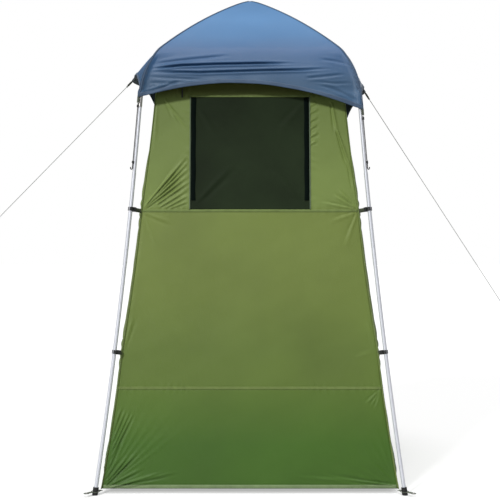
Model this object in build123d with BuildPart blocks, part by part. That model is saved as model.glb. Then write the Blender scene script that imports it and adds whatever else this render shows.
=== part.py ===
from build123d import *
import os
from math import asin, atan, cos, degrees, hypot, radians, sin, sqrt, tan

# Privacy shower tent. Millimetres, +Z up, the front (window side) faces -Y.
# The origin is on the ground under the middle of the tent.
os.makedirs("parts", exist_ok=True)

# ---- driving dimensions ----
foot_half = 650.0              # half the spacing of the leg feet, along X and along Y
foot_lean = 10.6               # lean of a leg at its foot, degrees from vertical
leg_bend_radius = 20340.0      # gentle inward bow of a leg
leg_splice_height = 1363.0     # where the upper leg section leaves the lower one
leg_splice_overlap = 60.0
leg_top_height = 1676.0
leg_start_height = 8.0         # the leg tube stands inside its foot cap
shoulder_height = 1700.0       # where the roof pole starts to bend
shoulder_radius = 320.0
shoulder_lean = 54.0           # lean of the roof pole at the end of the shoulder bend
apex_lean = 68.0               # lean of the roof pole at the hub
hub_gap = 14.0                 # from the tent's axis to a roof pole's end

lower_leg_radius = 8.3
upper_leg_radius = 7.5
leg_wall = 0.75
roof_pole_radius = 4.75
slip = 0.05                    # radial clearance of a plugged joint

cabin_foot_half, cabin_foot_height = 623.0, 20.0
cabin_knee_half, cabin_knee_height = 565.0, 436.0
cabin_waist_half, cabin_waist_height = 471.0, 1205.0
cabin_eave_half, cabin_eave_height = 404.0, 1850.0
fabric = 1.2                   # thickness of the cloth panels
seam_gap = 0.3

window_half, window_top = 262.0, 1705.0
door_half, door_bottom, door_top = 280.0, 24.0, 1560.0
door_gap = 2.5

fly_offset = 15.0              # from the roof pole's axis out to the ridge of the fly
fly_thickness = 1.8            # at the ridge; the faces come out thinner by 1/sqrt(2)
fly_left_tip, fly_right_tip, fly_arch_top = 1694.0, 1639.0, 1756.0
left_ear = Vector(-576, 0, 1846)
right_ear = Vector(562, 0, 1791)

left_guy_drop, right_guy_drop = 45.6, 57.0     # degrees below the horizontal
left_guy_length, right_guy_length = 960.0, 1248.0
guy_radius = 1.5
clip_heights = (592.0, 1205.0)

corners = {
    "front_left": (-1, -1),
    "front_right": (1, -1),
    "rear_left": (-1, 1),
    "rear_right": (1, 1),
}


# ---- helpers ----
def publish(builder, name):
    """Label a finished piece and write it."""
    builder.part.label = name
    export_step(builder.part, f"parts/{name}.step")


def leg_angle(z):
    """Lean of the leg's axis at a height, in radians."""
    return asin(sin(radians(foot_lean)) - z / leg_bend_radius)


def leg_r(z):
    """Distance from the tent's axis to the leg's axis, along the diagonal."""
    return foot_half * sqrt(2) - leg_bend_radius * (cos(leg_angle(z)) - cos(radians(foot_lean)))


def corner_plane(corner):
    """Upright plane through a leg: local x points outward, local y points up."""
    sx, sy = corners[corner]
    return Plane(origin=(0, 0, 0), x_dir=(sx, sy, 0), z_dir=(sy, -sx, 0))


def leg_frame(corner, z):
    """Plane square to a leg at a height: local x points outward, local z points up the leg."""
    upright = corner_plane(corner)
    lean = leg_angle(z)
    outward = upright.x_dir * cos(lean) + Vector(0, 0, 1) * sin(lean)
    along = upright.x_dir * -sin(lean) + Vector(0, 0, 1) * cos(lean)
    return Plane(origin=upright.from_local_coords((leg_r(z), z)), x_dir=outward, z_dir=along)


def cabin_half(z):
    """Half width of the cabin at a height, on the front and side walls."""
    profile = [
        (cabin_foot_height, cabin_foot_half),
        (cabin_knee_height, cabin_knee_half),
        (cabin_waist_height, cabin_waist_half),
        (cabin_eave_height, cabin_eave_half),
    ]
    for (z0, half0), (z1, half1) in zip(profile, profile[1:]):
        if z <= z1:
            return half0 + (half1 - half0) * (z - z0) / (z1 - z0)
    return cabin_eave_half


rear_slope = (cabin_foot_half - cabin_eave_half) / (cabin_eave_height - cabin_foot_height)


def rear_y(z):
    """The rear wall is one flat plane."""
    return cabin_foot_half - (z - cabin_foot_height) * rear_slope


def face_plane(points):
    """Plane through three points, with its first edge as local x."""
    a, b, c = points[0], points[1], points[2]
    return Plane(origin=a, x_dir=b - a, z_dir=(b - a).cross(c - a))


def cloth(points, thickness=fabric):
    """A flat cloth panel behind its outer face, the one that looks away from the tent's middle."""
    plane = face_plane(points)
    if plane.z_dir.dot(points[0] + points[2] - middle * 2) < 0:
        plane = Plane(origin=plane.origin, x_dir=plane.x_dir, z_dir=plane.z_dir * -1)
    with BuildPart() as panel:
        with BuildSketch(plane):
            with BuildLine():
                Polyline([plane.to_local_coords(p) for p in points], close=True)
            make_face()
        extrude(amount=-thickness)
    return panel


def on_front(x, z, out=0.0):
    """A point on the front wall's outer face, or just outside it."""
    slope = (cabin_half(z - 1) - cabin_half(z + 1)) / 2
    return Vector(x, -cabin_half(z), z) + Vector(0, -1, slope).normalized() * out


def front_points(x0, x1, z0, z1, out=0.0):
    """Corners of a front wall panel; an x of None follows the cabin's corner."""
    def x_at(x, z, side):
        return side * cabin_half(z) if x is None else x
    return [
        on_front(x_at(x0, z0, -1), z0, out),
        on_front(x_at(x1, z0, 1), z0, out),
        on_front(x_at(x1, z1, 1), z1, out),
        on_front(x_at(x0, z1, -1), z1, out),
    ]


def on_rear(x, z, out=0.0):
    """A point on the rear wall's outer face, or just outside it."""
    return Vector(x, rear_y(z), z) + rear_normal * out


rear_up = Vector(0, -rear_slope, 1).normalized()
rear_normal = Vector(0, 1, rear_slope).normalized()

middle = Vector(0, 0, 1000)

# ---- legs ----
shoulder_start_r = leg_r(leg_top_height) - (shoulder_height - leg_top_height) * tan(leg_angle(leg_top_height))
top_lean = degrees(leg_angle(leg_top_height))

for corner in corners:
    for name, z0, z1, radius in (
        ("lower_leg", leg_start_height, leg_splice_height, lower_leg_radius),
        ("upper_leg", leg_splice_height - leg_splice_overlap, leg_top_height, upper_leg_radius),
    ):
        with BuildPart() as leg:
            with BuildLine(corner_plane(corner)) as axis:
                ThreePointArc(
                    (leg_r(z0), z0),
                    (leg_r((z0 + z1) / 2), (z0 + z1) / 2),
                    (leg_r(z1), z1),
                )
            with BuildSketch(leg_frame(corner, z0)):
                Circle(radius)
                Circle(radius - leg_wall, mode=Mode.SUBTRACT)
            sweep(path=axis.line)
        publish(leg, f"{name}_{corner}")

# ---- foot caps ----
cap_radius, cap_height, cap_floor, cap_clearance = 12.0, 38.0, 6.0, 0.2
with BuildPart() as foot_caps:
    for corner in corners:
        with BuildSketch(leg_frame(corner, 0).offset(-cap_floor)):
            Circle(cap_radius)
        extrude(amount=cap_height)
    for corner in corners:
        with BuildSketch(leg_frame(corner, leg_start_height).offset(-seam_gap)):
            Circle(lower_leg_radius + cap_clearance)
        extrude(amount=cap_height, mode=Mode.SUBTRACT)
    split(bisect_by=Plane.XY, keep=Keep.TOP)
publish(foot_caps, "foot_caps")

# ---- roof poles ----
shoulder_centre = (
    shoulder_start_r - shoulder_radius * cos(radians(top_lean)),
    shoulder_height - shoulder_radius * sin(radians(top_lean)),
)
shoulder_end = (
    shoulder_centre[0] + shoulder_radius * cos(radians(shoulder_lean)),
    shoulder_centre[1] + shoulder_radius * sin(radians(shoulder_lean)),
)
crown_radius = shoulder_end[0] / (cos(radians(shoulder_lean)) - cos(radians(apex_lean)))
crown_centre = (
    shoulder_end[0] - crown_radius * cos(radians(shoulder_lean)),
    shoulder_end[1] - crown_radius * sin(radians(shoulder_lean)),
)
apex_height = crown_centre[1] + crown_radius * sin(radians(apex_lean))
# The pole's last point stands hub_gap outside the tent's axis.
pole_end_lean = degrees(asin(sqrt(1 - ((hub_gap - crown_centre[0]) / crown_radius) ** 2)))


def on_arc(centre, radius, lean):
    return (centre[0] + radius * cos(radians(lean)), centre[1] + radius * sin(radians(lean)))


for corner in corners:
    with BuildPart() as roof_pole:
        with BuildLine(corner_plane(corner)) as axis:
            Line((leg_r(leg_top_height), leg_top_height), (shoulder_start_r, shoulder_height))
            ThreePointArc(
                (shoulder_start_r, shoulder_height),
                on_arc(shoulder_centre, shoulder_radius, (top_lean + shoulder_lean) / 2),
                shoulder_end,
            )
            ThreePointArc(
                shoulder_end,
                on_arc(crown_centre, crown_radius, (shoulder_lean + pole_end_lean) / 2),
                on_arc(crown_centre, crown_radius, pole_end_lean),
            )
        with BuildSketch(leg_frame(corner, leg_top_height)):
            Circle(roof_pole_radius)
        sweep(path=axis.line)
    publish(roof_pole, f"roof_pole_{corner}")

# ---- reducers between leg and roof pole ----
reducer_radius, reducer_below, reducer_above = 8.7, 24.0, 26.0
with BuildPart() as reducers:
    for corner in corners:
        base = leg_frame(corner, leg_top_height)
        with BuildSketch(base.offset(-reducer_below)):
            Circle(reducer_radius)
        extrude(amount=reducer_below + reducer_above)
        with BuildSketch(base.offset(-reducer_below)):
            Circle(upper_leg_radius + slip)
        extrude(amount=reducer_below, mode=Mode.SUBTRACT)
        with BuildSketch(base):
            Circle(roof_pole_radius + slip)
        extrude(amount=reducer_above, mode=Mode.SUBTRACT)
publish(reducers, "reducers")

# ---- apex hub ----
socket_radius, socket_length, socket_clearance = 7.2, 46.0, 0.2
hub_radius, hub_height = 18.0, 26.0
with BuildPart() as apex_hub:
    with BuildSketch(Plane.XY.offset(apex_height - hub_height)):
        Circle(hub_radius)
    extrude(amount=hub_height)
    for corner in corners:
        upright = corner_plane(corner)
        lean = radians(pole_end_lean) - socket_length / 2 / crown_radius
        inward = upright.x_dir * -sin(lean) + Vector(0, 0, 1) * cos(lean)
        end = upright.from_local_coords(on_arc(crown_centre, crown_radius, pole_end_lean))
        socket = Plane(origin=end, x_dir=upright.z_dir, z_dir=inward * -1)
        with BuildSketch(socket):
            Circle(socket_radius)
        extrude(amount=socket_length)
        with BuildSketch(socket.offset(-socket_clearance)):
            Circle(roof_pole_radius + socket_clearance)
        extrude(amount=socket_length + 1, mode=Mode.SUBTRACT)
publish(apex_hub, "apex_hub")


# ---- fly ----
def fly_side(offset):
    """The fly's profile seen square on, from the apex down one side: two arcs and a straight skirt."""
    crown = [
        on_arc(crown_centre, crown_radius + offset, lean)
        for lean in (apex_lean, (apex_lean + shoulder_lean) / 2, shoulder_lean)
    ]
    bend = [
        on_arc(shoulder_centre, shoulder_radius + offset, lean)
        for lean in ((shoulder_lean + top_lean) / 2, top_lean)
    ]
    crown[0] = (0.0, crown[0][1] + crown[0][0] / tan(radians(apex_lean)))
    skirt_bottom = fly_right_tip - fly_allowance
    skirt_r = bend[1][0] + (bend[1][1] - skirt_bottom) * tan(radians(top_lean))
    return [(r / sqrt(2), z) for r, z in crown + bend + [(skirt_r, skirt_bottom)]]


def vault(offset):
    """Solid under two crossed barrel vaults: its four ridges lie over the roof poles."""
    apex, crown_mid, crown_end, bend_mid, bend_end, bottom = fly_side(offset)
    with BuildPart() as dome:
        for plane, mode in ((Plane.XZ, Mode.ADD), (Plane.YZ, Mode.INTERSECT)):
            with BuildSketch(plane) as profile:
                with BuildLine():
                    for side in (-1, 1):
                        a, b, c, d, e, f = [
                            (side * h, z) for h, z in (apex, crown_mid, crown_end, bend_mid, bend_end, bottom)
                        ]
                        ThreePointArc(a, b, c)
                        ThreePointArc(c, d, e)
                        Line(e, f)
                    Line((-bottom[0], bottom[1]), bottom)
                make_face()
            extrude(profile.sketch, amount=fly_reach, both=True, mode=mode)
    return dome


def below_arch(plane, reach, both, start, top, end):
    """Everything under a lower edge that arches from one corner tip to the other."""
    with BuildPart() as waste:
        with BuildSketch(plane):
            with BuildLine():
                ThreePointArc(start, top, end)
                Polyline([end, (end[0], fly_floor), (start[0], fly_floor), start])
            make_face()
        extrude(amount=reach, both=both)
    return waste


fly_reach, fly_floor, fly_allowance, fly_edge_spare, side_depth = 700.0, 1500.0, 20.0, 1.0, 60.0
ear_thickness, ear_inset, ear_rise, ear_embed = 1.5, 60.0, 50.0, 0.6
fly_bottom_half = fly_side(fly_offset)[5][0] + fly_edge_spare
shoulder_half, fly_shoulder = fly_side(fly_offset)[3]
crown_half, fly_crown = fly_side(fly_offset)[2]
side_reach = fly_reach - shoulder_half + side_depth


def fly_corner(z):
    """Half width of the fly's skirt at a height."""
    bend_end, bottom = fly_side(fly_offset)[4:6]
    return bend_end[0] + (bottom[0] - bend_end[0]) * (z - bend_end[1]) / (bottom[1] - bend_end[1])


fly_outer, fly_inner = vault(fly_offset), vault(fly_offset - fly_thickness)
front_edge = below_arch(
    Plane.XZ, fly_reach, True,
    (-fly_bottom_half, fly_left_tip), (0, fly_arch_top), (fly_bottom_half, fly_right_tip),
)
side_edges = [
    below_arch(
        Plane.YZ.offset(start), side_reach, False,
        (-fly_bottom_half, tip), (0, ear.Z), (fly_bottom_half, tip),
    )
    for start, tip, ear in (
        (-fly_reach, fly_left_tip, left_ear),
        (shoulder_half - side_depth, fly_right_tip, right_ear),
    )
]
ears = []
for sx, tip, ear in ((-1, fly_left_tip, left_ear), (1, fly_right_tip, right_ear)):
    ridge_foot = Vector(sx * (crown_half - ear_embed), 0, fly_crown - ear_embed)
    for sy in (-1, 1):
        low_half = fly_corner(tip + ear_rise)
        shoulder = Vector(sx * (shoulder_half - ear_embed), sy * (shoulder_half - ear_inset), fly_shoulder)
        corner_low = Vector(sx * (low_half - ear_embed), sy * (low_half - ear_inset), tip + ear_rise)
        ears.append(cloth([shoulder, ear, ridge_foot], ear_thickness))
        ears.append(cloth([shoulder, corner_low, ear], ear_thickness))

with BuildPart() as fly:
    add(fly_outer.part)
    add(fly_inner.part, mode=Mode.SUBTRACT)
    for waste in [front_edge] + side_edges:
        add(waste.part, mode=Mode.SUBTRACT)
    for flap in ears:
        add(flap.part)
publish(fly, "fly")

# ---- corner sleeves, tabs, elastic cords and hooks ----
sleeve_radius, sleeve_low, sleeve_high = 6.2, 10.0, 40.0
with BuildPart() as corner_sleeves:
    for corner in corners:
        upright = corner_plane(corner)
        lean = radians(sleeve_low)
        start = upright.from_local_coords(on_arc(shoulder_centre, shoulder_radius, sleeve_low))
        along = upright.x_dir * -sin(lean) + Vector(0, 0, 1) * cos(lean)
        with BuildLine(upright) as axis:
            ThreePointArc(*[
                on_arc(shoulder_centre, shoulder_radius, angle)
                for angle in (sleeve_low, (sleeve_low + sleeve_high) / 2, sleeve_high)
            ])
        with BuildSketch(Plane(origin=start, x_dir=upright.z_dir, z_dir=along)):
            Circle(sleeve_radius)
            Circle(roof_pole_radius + seam_gap, mode=Mode.SUBTRACT)
        sweep(path=axis.line)
publish(corner_sleeves, "corner_sleeves")

cord_out, cord_radius, cord_gap = 12.5, 2.0, 2.5
tab_overlap, tab_length, tab_width, tab_thickness = 3.0, 22.0, 12.0, 1.5
hook_top, hook_wire, hook_shank, hook_curl, hook_tip = 1400.0, 2.2, 20.0, 5.0, 4.0


def fly_tip(corner):
    return fly_left_tip if corners[corner][0] < 0 else fly_right_tip


def beside_leg(z, out):
    """A point in a corner plane, square out from the leg's axis at a height."""
    return (leg_r(z) + out * cos(leg_angle(z)), z + out * sin(leg_angle(z)))


def leg_hook_plane(corner, point, lean):
    """Corner plane moved to a point and tipped, so that local y runs up a line of that lean."""
    upright = corner_plane(corner)
    outward = upright.x_dir * cos(lean) + Vector(0, 0, 1) * sin(lean)
    return Plane(origin=upright.from_local_coords(point), x_dir=outward, z_dir=upright.z_dir)


with BuildPart() as corner_tabs:
    for corner in corners:
        tab_top = leg_frame(corner, fly_tip(corner) - tab_overlap)
        with BuildSketch(tab_top):
            with Locations((cord_out, 0)):
                Rectangle(tab_thickness, tab_width)
        extrude(amount=-tab_length)
publish(corner_tabs, "corner_tabs")

for corner in corners:
    cord_top = fly_tip(corner) - tab_overlap - tab_length - cord_gap
    start = beside_leg(cord_top, cord_out)
    end = beside_leg(hook_top, cord_out)
    with BuildPart() as elastic_cord:
        with BuildLine(corner_plane(corner)) as axis:
            Line(start, end)
        with BuildSketch(Plane(origin=axis.line @ 0, z_dir=axis.line % 0)):
            Circle(cord_radius)
        sweep(path=axis.line)
    publish(elastic_cord, f"elastic_cord_{corner}")
    print("elastic cord", corner, round(hypot(end[0] - start[0], end[1] - start[1]), 1))

    lean = atan((end[0] - start[0]) / (start[1] - end[1]))
    with BuildPart() as hook:
        with BuildLine(leg_hook_plane(corner, end, lean)) as axis:
            Line((0, 0), (0, -hook_shank))
            ThreePointArc((0, -hook_shank), (hook_curl, -hook_shank - hook_curl), (2 * hook_curl, -hook_shank))
            Line((2 * hook_curl, -hook_shank), (2 * hook_curl, hook_tip - hook_shank))
        with BuildSketch(Plane(origin=axis.line @ 0, z_dir=axis.line % 0)):
            Circle(hook_wire)
        sweep(path=axis.line)
    publish(hook, f"corner_hook_{corner}")

# ---- guy tabs, ropes, runners and rings ----
guy_tab_start, guy_tab_end, guy_tab_width = 1.0, 24.8, 20.0
rope_start, runner_length, runner_back, ring_radius, ring_wire = 25.0, 22.0, 53.0, 10.0, 1.6
runner_width, runner_depth, runner_clearance = 14.0, 8.0, 0.4


def guy_direction(sx, drop):
    return Vector(sx * cos(radians(drop)), 0, -sin(radians(drop)))


guys = {
    "left": (left_ear, guy_direction(-1, left_guy_drop), left_guy_length),
    "right": (right_ear, guy_direction(1, right_guy_drop), right_guy_length),
}


def guy_frame(side, distance):
    """Plane square to a guy rope at a distance from the fly: local x runs along Y."""
    ear, direction, length = guys[side]
    return Plane(origin=ear + direction * distance, x_dir=(0, 1, 0), z_dir=direction)


with BuildPart() as guy_tabs:
    for side in guys:
        with BuildSketch(guy_frame(side, guy_tab_start)):
            Rectangle(guy_tab_width, tab_thickness)
        extrude(amount=guy_tab_end - guy_tab_start)
publish(guy_tabs, "guy_tabs")

for side, (ear, direction, length) in guys.items():
    with BuildPart() as guy_rope:
        with BuildSketch(guy_frame(side, rope_start)):
            Circle(guy_radius)
        extrude(amount=length)
    publish(guy_rope, f"guy_rope_{side}")
    print("guy rope", side, length)

    with BuildPart() as runner:
        with BuildSketch(guy_frame(side, rope_start + length - runner_back)):
            RectangleRounded(runner_width, runner_depth, 2.0)
            Circle(guy_radius + runner_clearance, mode=Mode.SUBTRACT)
        extrude(amount=runner_length)
    publish(runner, f"guy_runner_{side}")

    ring_centre = ear + direction * (rope_start + length + ring_radius + ring_wire + 0.1)
    with BuildPart() as guy_ring:
        with Locations(Plane(origin=ring_centre, z_dir=(0, 1, 0))):
            Torus(ring_radius, ring_wire)
    publish(guy_ring, f"guy_ring_{side}")

# ---- cabin walls ----
front_pieces = {
    "front_left_panel": front_points(None, -window_half - seam_gap, cabin_waist_height, window_top),
    "front_right_panel": front_points(window_half + seam_gap, None, cabin_waist_height, window_top),
    "front_header_panel": front_points(None, None, window_top, cabin_eave_height),
    "front_middle_panel": front_points(None, None, cabin_knee_height, cabin_waist_height),
    "front_skirt_panel": front_points(None, None, cabin_foot_height, cabin_knee_height),
    "window_mesh": front_points(-window_half, window_half, cabin_waist_height + seam_gap, window_top - seam_gap),
}
for name, points in front_pieces.items():
    publish(cloth(points), name)

wall_inset = fabric + seam_gap
cabin_heights = (cabin_foot_height, cabin_knee_height, cabin_waist_height, cabin_eave_height)
for side, sx in (("left", -1), ("right", 1)):
    with BuildPart() as side_wall:
        with BuildSketch(Plane.XZ):
            outer = [(sx * cabin_half(z), z) for z in cabin_heights]
            inner = [(sx * (cabin_half(z) - fabric), z) for z in cabin_heights]
            with BuildLine():
                Polyline(outer + inner[::-1], close=True)
            make_face()
        extrude(amount=fly_reach, both=True)
        with BuildSketch(Plane.YZ):
            with BuildLine():
                Polyline(
                    [(wall_inset - cabin_half(z), z) for z in cabin_heights]
                    + [(rear_y(z) - wall_inset, z) for z in cabin_heights[::-1]],
                    close=True,
                )
            make_face()
        extrude(amount=fly_reach, both=True, mode=Mode.INTERSECT)
    publish(side_wall, f"{side}_wall")

door_frame = door_half + door_gap
for side, sx in (("left", -1), ("right", 1)):
    edge_heights = (cabin_foot_height, cabin_knee_height, cabin_waist_height, door_top + door_gap)
    points = [on_rear(sx * door_frame, z) for z in (door_top + door_gap, cabin_foot_height)]
    points += [on_rear(sx * cabin_half(z), z) for z in edge_heights]
    publish(cloth(points), f"rear_{side}_panel")
header_bottom = door_top + door_gap
publish(
    cloth([
        on_rear(-cabin_half(header_bottom), header_bottom),
        on_rear(cabin_half(header_bottom), header_bottom),
        on_rear(cabin_eave_half, cabin_eave_height),
        on_rear(-cabin_eave_half, cabin_eave_height),
    ]),
    "rear_header_panel",
)

# ---- door, zip tape, slider and pull ----
publish(
    cloth([
        on_rear(-door_half, door_bottom),
        on_rear(door_half, door_bottom),
        on_rear(door_half, door_top),
        on_rear(-door_half, door_top),
    ]),
    "door_panel",
)

tape_width, tape_thickness, tape_out = 12.0, 1.0, 0.3
tape_inset = 1.5
tape_inner, tape_outer = door_frame + tape_inset, door_frame + tape_inset + tape_width
tape_top = door_top + door_gap + tape_inset
publish(
    cloth(
        [
            on_rear(x, z, tape_out + tape_thickness)
            for x, z in (
                (tape_outer, door_bottom),
                (tape_outer, tape_top + tape_width),
                (-door_half, tape_top + tape_width),
                (-door_half, tape_top),
                (tape_inner, tape_top),
                (tape_inner, door_bottom),
            )
        ],
        tape_thickness,
    ),
    "door_zip_tape",
)

slider_rest, slider_length, slider_width, slider_depth = 80.0, 16.0, 10.0, 5.0
slider_out = tape_out + tape_thickness + seam_gap
slider_x = (tape_inner + tape_outer) / 2
with BuildPart() as zip_slider:
    slider_origin = on_rear(slider_x, slider_rest, slider_out)
    with BuildSketch(Plane(origin=slider_origin, x_dir=(-1, 0, 0), z_dir=rear_normal)):
        RectangleRounded(slider_width, slider_length, 2.5)
    extrude(amount=slider_depth)
publish(zip_slider, "zip_slider")

pull_length, pull_width, pull_thickness, pull_above = 34.0, 8.0, 2.0, 2.5
pull_out = slider_out + slider_depth + seam_gap
pull_top = slider_rest + slider_length / 2 + pull_above
with BuildPart() as zip_pull:
    with BuildSketch(Plane(origin=on_rear(slider_x, pull_top, pull_out), x_dir=(-1, 0, 0), z_dir=rear_normal)):
        with Locations((0, -pull_length / 2 + pull_thickness)):
            RectangleRounded(pull_width, pull_length, 3.0)
        with Locations((0, -pull_length + pull_thickness * 3)):
            Circle(2.0, mode=Mode.SUBTRACT)
    extrude(amount=pull_thickness)
publish(zip_pull, "zip_pull")

# ---- window flap, side tapes, piping and toggle ----
flap_side, flap_low, flap_high, flap_in = 6.0, 10.0, 7.0, -5.2
publish(
    cloth(
        front_points(
            flap_side - window_half, window_half - flap_side,
            cabin_waist_height + flap_low, window_top - flap_high, flap_in,
        ),
    ),
    "privacy_flap",
)

strip_out, side_tape_width, side_tape_bottom, side_tape_inset = 0.3, 20.0, 1245.0, 3.0
with BuildPart() as window_tapes:
    for sx in (-1, 1):
        inner_edge, outer_edge = window_half - side_tape_width - side_tape_inset, window_half - side_tape_inset
        low, high = sorted((sx * inner_edge, sx * outer_edge))
        tape = front_points(low, high, side_tape_bottom, window_top - 2.0, strip_out + tape_thickness)
        add(cloth(tape, tape_thickness).part)
publish(window_tapes, "window_tapes")

piping_width, piping_thickness = 5.0, 2.0
with BuildPart() as window_piping:
    for sx in (-1, 1):
        low, high = sorted((sx * window_half, sx * (window_half + piping_width)))
        strip = front_points(low, high, cabin_waist_height + 1.0, window_top, strip_out + piping_thickness)
        add(cloth(strip, piping_thickness).part)
publish(window_piping, "window_piping")

toggle_x, toggle_bottom, toggle_top, toggle_size = -303.0, 1702.0, 1742.0, 5.0
publish(
    cloth(
        front_points(toggle_x, toggle_x + toggle_size, toggle_bottom, toggle_top, strip_out + toggle_size),
        toggle_size,
    ),
    "window_toggle",
)

# ---- pole clips and their webbing ----
clip_clearance, clip_radius, clip_height, clip_mouth = 0.3, 11.3, 16.0, 9.0
lock_reach, lock_width, lock_height = 22.3, 20.0, 19.0
with BuildPart() as pole_clips:
    for corner in corners:
        for z in clip_heights:
            frame = leg_frame(corner, z)
            with BuildSketch(frame):
                Circle(clip_radius)
                with Locations((clip_radius, 0)):
                    Rectangle(clip_radius * 2, clip_mouth, mode=Mode.SUBTRACT)
            extrude(amount=clip_height / 2, both=True)
            with BuildSketch(frame):
                with Locations((-(lock_reach + lower_leg_radius) / 2, 0)):
                    Rectangle(lock_reach - lower_leg_radius, lock_width)
            extrude(amount=lock_height / 2, both=True)
            with BuildSketch(frame):
                Circle(lower_leg_radius + clip_clearance)
            extrude(amount=lock_height, both=True, mode=Mode.SUBTRACT)
publish(pole_clips, "pole_clips")

strap_height, strap_thickness = 20.0, 1.5
with BuildPart() as clip_straps:
    for corner in corners:
        for z in clip_heights:
            reach = (leg_r(z) - cabin_half(z) * sqrt(2)) * cos(leg_angle(z)) - strap_thickness
            start = -(lock_reach + seam_gap)
            with BuildSketch(leg_frame(corner, z)):
                with Locations(((start - reach) / 2, 0)):
                    Rectangle(reach + start, strap_thickness)
            extrude(amount=strap_height / 2, both=True)
publish(clip_straps, "clip_straps")

# ---- foot straps and peg eyelets ----
foot_strap_height, foot_strap_thickness, foot_strap_start = 13.5, 1.5, 886.0
eye_outer, eye_inner, eye_rim, eye_clearance = 19.0, 14.0, 4.0, 0.1
peg_r, eyelet_hole, eyelet_outer, eyelet_height = 962.0, 4.5, 8.0, 3.2
with BuildPart() as foot_straps:
    for corner in corners:
        sx, sy = corners[corner]
        level = Plane(origin=(0, 0, foot_strap_height), x_dir=(sx, sy, 0), z_dir=(0, 0, 1))
        with BuildSketch(level):
            with Locations(((foot_strap_start + peg_r) / 2, 0)):
                Rectangle(peg_r - foot_strap_start, strap_height)
            with Locations((leg_r(foot_strap_height), 0)):
                Circle(eye_outer)
                Circle(eye_inner, mode=Mode.SUBTRACT)
            with Locations((peg_r, 0)):
                Circle(eyelet_outer + eye_rim)
                Circle(eyelet_outer + eye_clearance, mode=Mode.SUBTRACT)
        extrude(amount=foot_strap_thickness)
publish(foot_straps, "foot_straps")

with BuildPart() as peg_eyelets:
    for corner in corners:
        sx, sy = corners[corner]
        centre = Vector(sx, sy, 0) * (peg_r / sqrt(2))
        bottom = foot_strap_height + (foot_strap_thickness - eyelet_height) / 2
        with BuildSketch(Plane(origin=(centre.X, centre.Y, bottom), z_dir=(0, 0, 1))):
            Circle(eyelet_outer)
            Circle(eyelet_hole, mode=Mode.SUBTRACT)
        extrude(amount=eyelet_height)
publish(peg_eyelets, "peg_eyelets")

# ---- cabin ceiling, hanging strap and ring ----
ceiling_top, ceiling_half, ceiling_inset = 2119.0, 60.0, 3.0
with BuildPart() as cabin_ceiling:
    for dx, dy in ((1, 0), (0, 1), (-1, 0), (0, -1)):
        outward, across = Vector(dx, dy), Vector(-dy, dx)
        panel = [
            outward * half + across * (side * (half - ceiling_inset)) + Vector(0, 0, z)
            for half, z, side in (
                (cabin_eave_half, cabin_eave_height + 1.5, -1),
                (cabin_eave_half, cabin_eave_height + 1.5, 1),
                (ceiling_half, ceiling_top, 1),
                (ceiling_half, ceiling_top, -1),
            )
        ]
        add(cloth(panel).part)
    with BuildSketch(Plane.XY.offset(ceiling_top + 0.5)):
        Rectangle(ceiling_half * 2, ceiling_half * 2)
    extrude(amount=fabric)
publish(cabin_ceiling, "cabin_ceiling")

band_width, band_depth, band_height, band_thickness = 20.0, 17.0, 36.0, 1.5
band_top = ceiling_top + 0.2
with BuildPart() as hanging_strap:
    with BuildSketch(Plane.YZ):
        with Locations((0, band_top - band_height / 2)):
            RectangleRounded(band_depth, band_height, 3.0)
            RectangleRounded(
                band_depth - 2 * band_thickness, band_height - 2 * band_thickness, 1.5, mode=Mode.SUBTRACT
            )
    extrude(amount=band_width / 2, both=True)
publish(hanging_strap, "hanging_strap")

hang_radius, hang_wire, hang_slack = 15.0, 2.5, 1.5
hang_drop = hang_radius - sqrt(hang_radius**2 - (band_width / 2) ** 2)
hang_pivot = band_top - band_height + band_thickness + hang_wire + hang_slack + hang_drop
with BuildPart() as hanging_ring:
    with Locations(Plane(origin=(0, 0, hang_pivot - hang_radius), z_dir=(0, 1, 0))):
        Torus(hang_radius, hang_wire)
publish(hanging_ring, "hanging_ring")

print("apex hub height", round(apex_height, 1), "crown radius", round(crown_radius, 1))
print("hanging ring pivot", round(hang_pivot, 2))
print("zip pull pivot", on_rear(slider_x, pull_top, pull_out + pull_thickness / 2))
print("door hinge", on_rear(-door_half, 790), rear_up)
print("flap hinge", on_front(0, window_top - flap_high, flap_in))
for corner in corners:
    print("hook pivot", corner, corner_plane(corner).from_local_coords(
        beside_leg(fly_tip(corner) - tab_overlap - tab_length - cord_gap, cord_out)))
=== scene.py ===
import math

import bmesh
import bpy
import numpy as np
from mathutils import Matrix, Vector


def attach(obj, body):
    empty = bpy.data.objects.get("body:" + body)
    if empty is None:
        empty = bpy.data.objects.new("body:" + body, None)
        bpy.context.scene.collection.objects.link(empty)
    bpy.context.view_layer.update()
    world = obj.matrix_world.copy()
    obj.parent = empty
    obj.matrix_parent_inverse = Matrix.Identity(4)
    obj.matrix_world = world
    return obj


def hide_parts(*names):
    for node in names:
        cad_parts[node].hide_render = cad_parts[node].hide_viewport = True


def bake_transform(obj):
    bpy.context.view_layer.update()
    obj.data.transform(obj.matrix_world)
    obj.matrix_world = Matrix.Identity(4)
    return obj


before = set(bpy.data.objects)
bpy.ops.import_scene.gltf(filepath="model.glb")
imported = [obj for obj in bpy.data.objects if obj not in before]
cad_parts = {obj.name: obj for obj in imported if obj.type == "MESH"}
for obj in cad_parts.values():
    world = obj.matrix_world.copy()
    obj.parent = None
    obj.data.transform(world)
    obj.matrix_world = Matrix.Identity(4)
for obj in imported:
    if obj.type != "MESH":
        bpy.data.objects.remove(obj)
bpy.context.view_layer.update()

# Privacy shower tent: metres, +Z up, the window side faces -Y.

# ---------------------------------------------------------------- camera
camera = bpy.data.objects.new("camera", bpy.data.cameras.new("camera"))
bpy.context.scene.collection.objects.link(camera)
camera.location = (0.0, -4.65, 1.027)
camera.rotation_euler = (math.radians(90), 0, 0)
camera.data.sensor_width = 36.0
camera.data.lens = 68.7
bpy.context.scene.camera = camera

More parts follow.
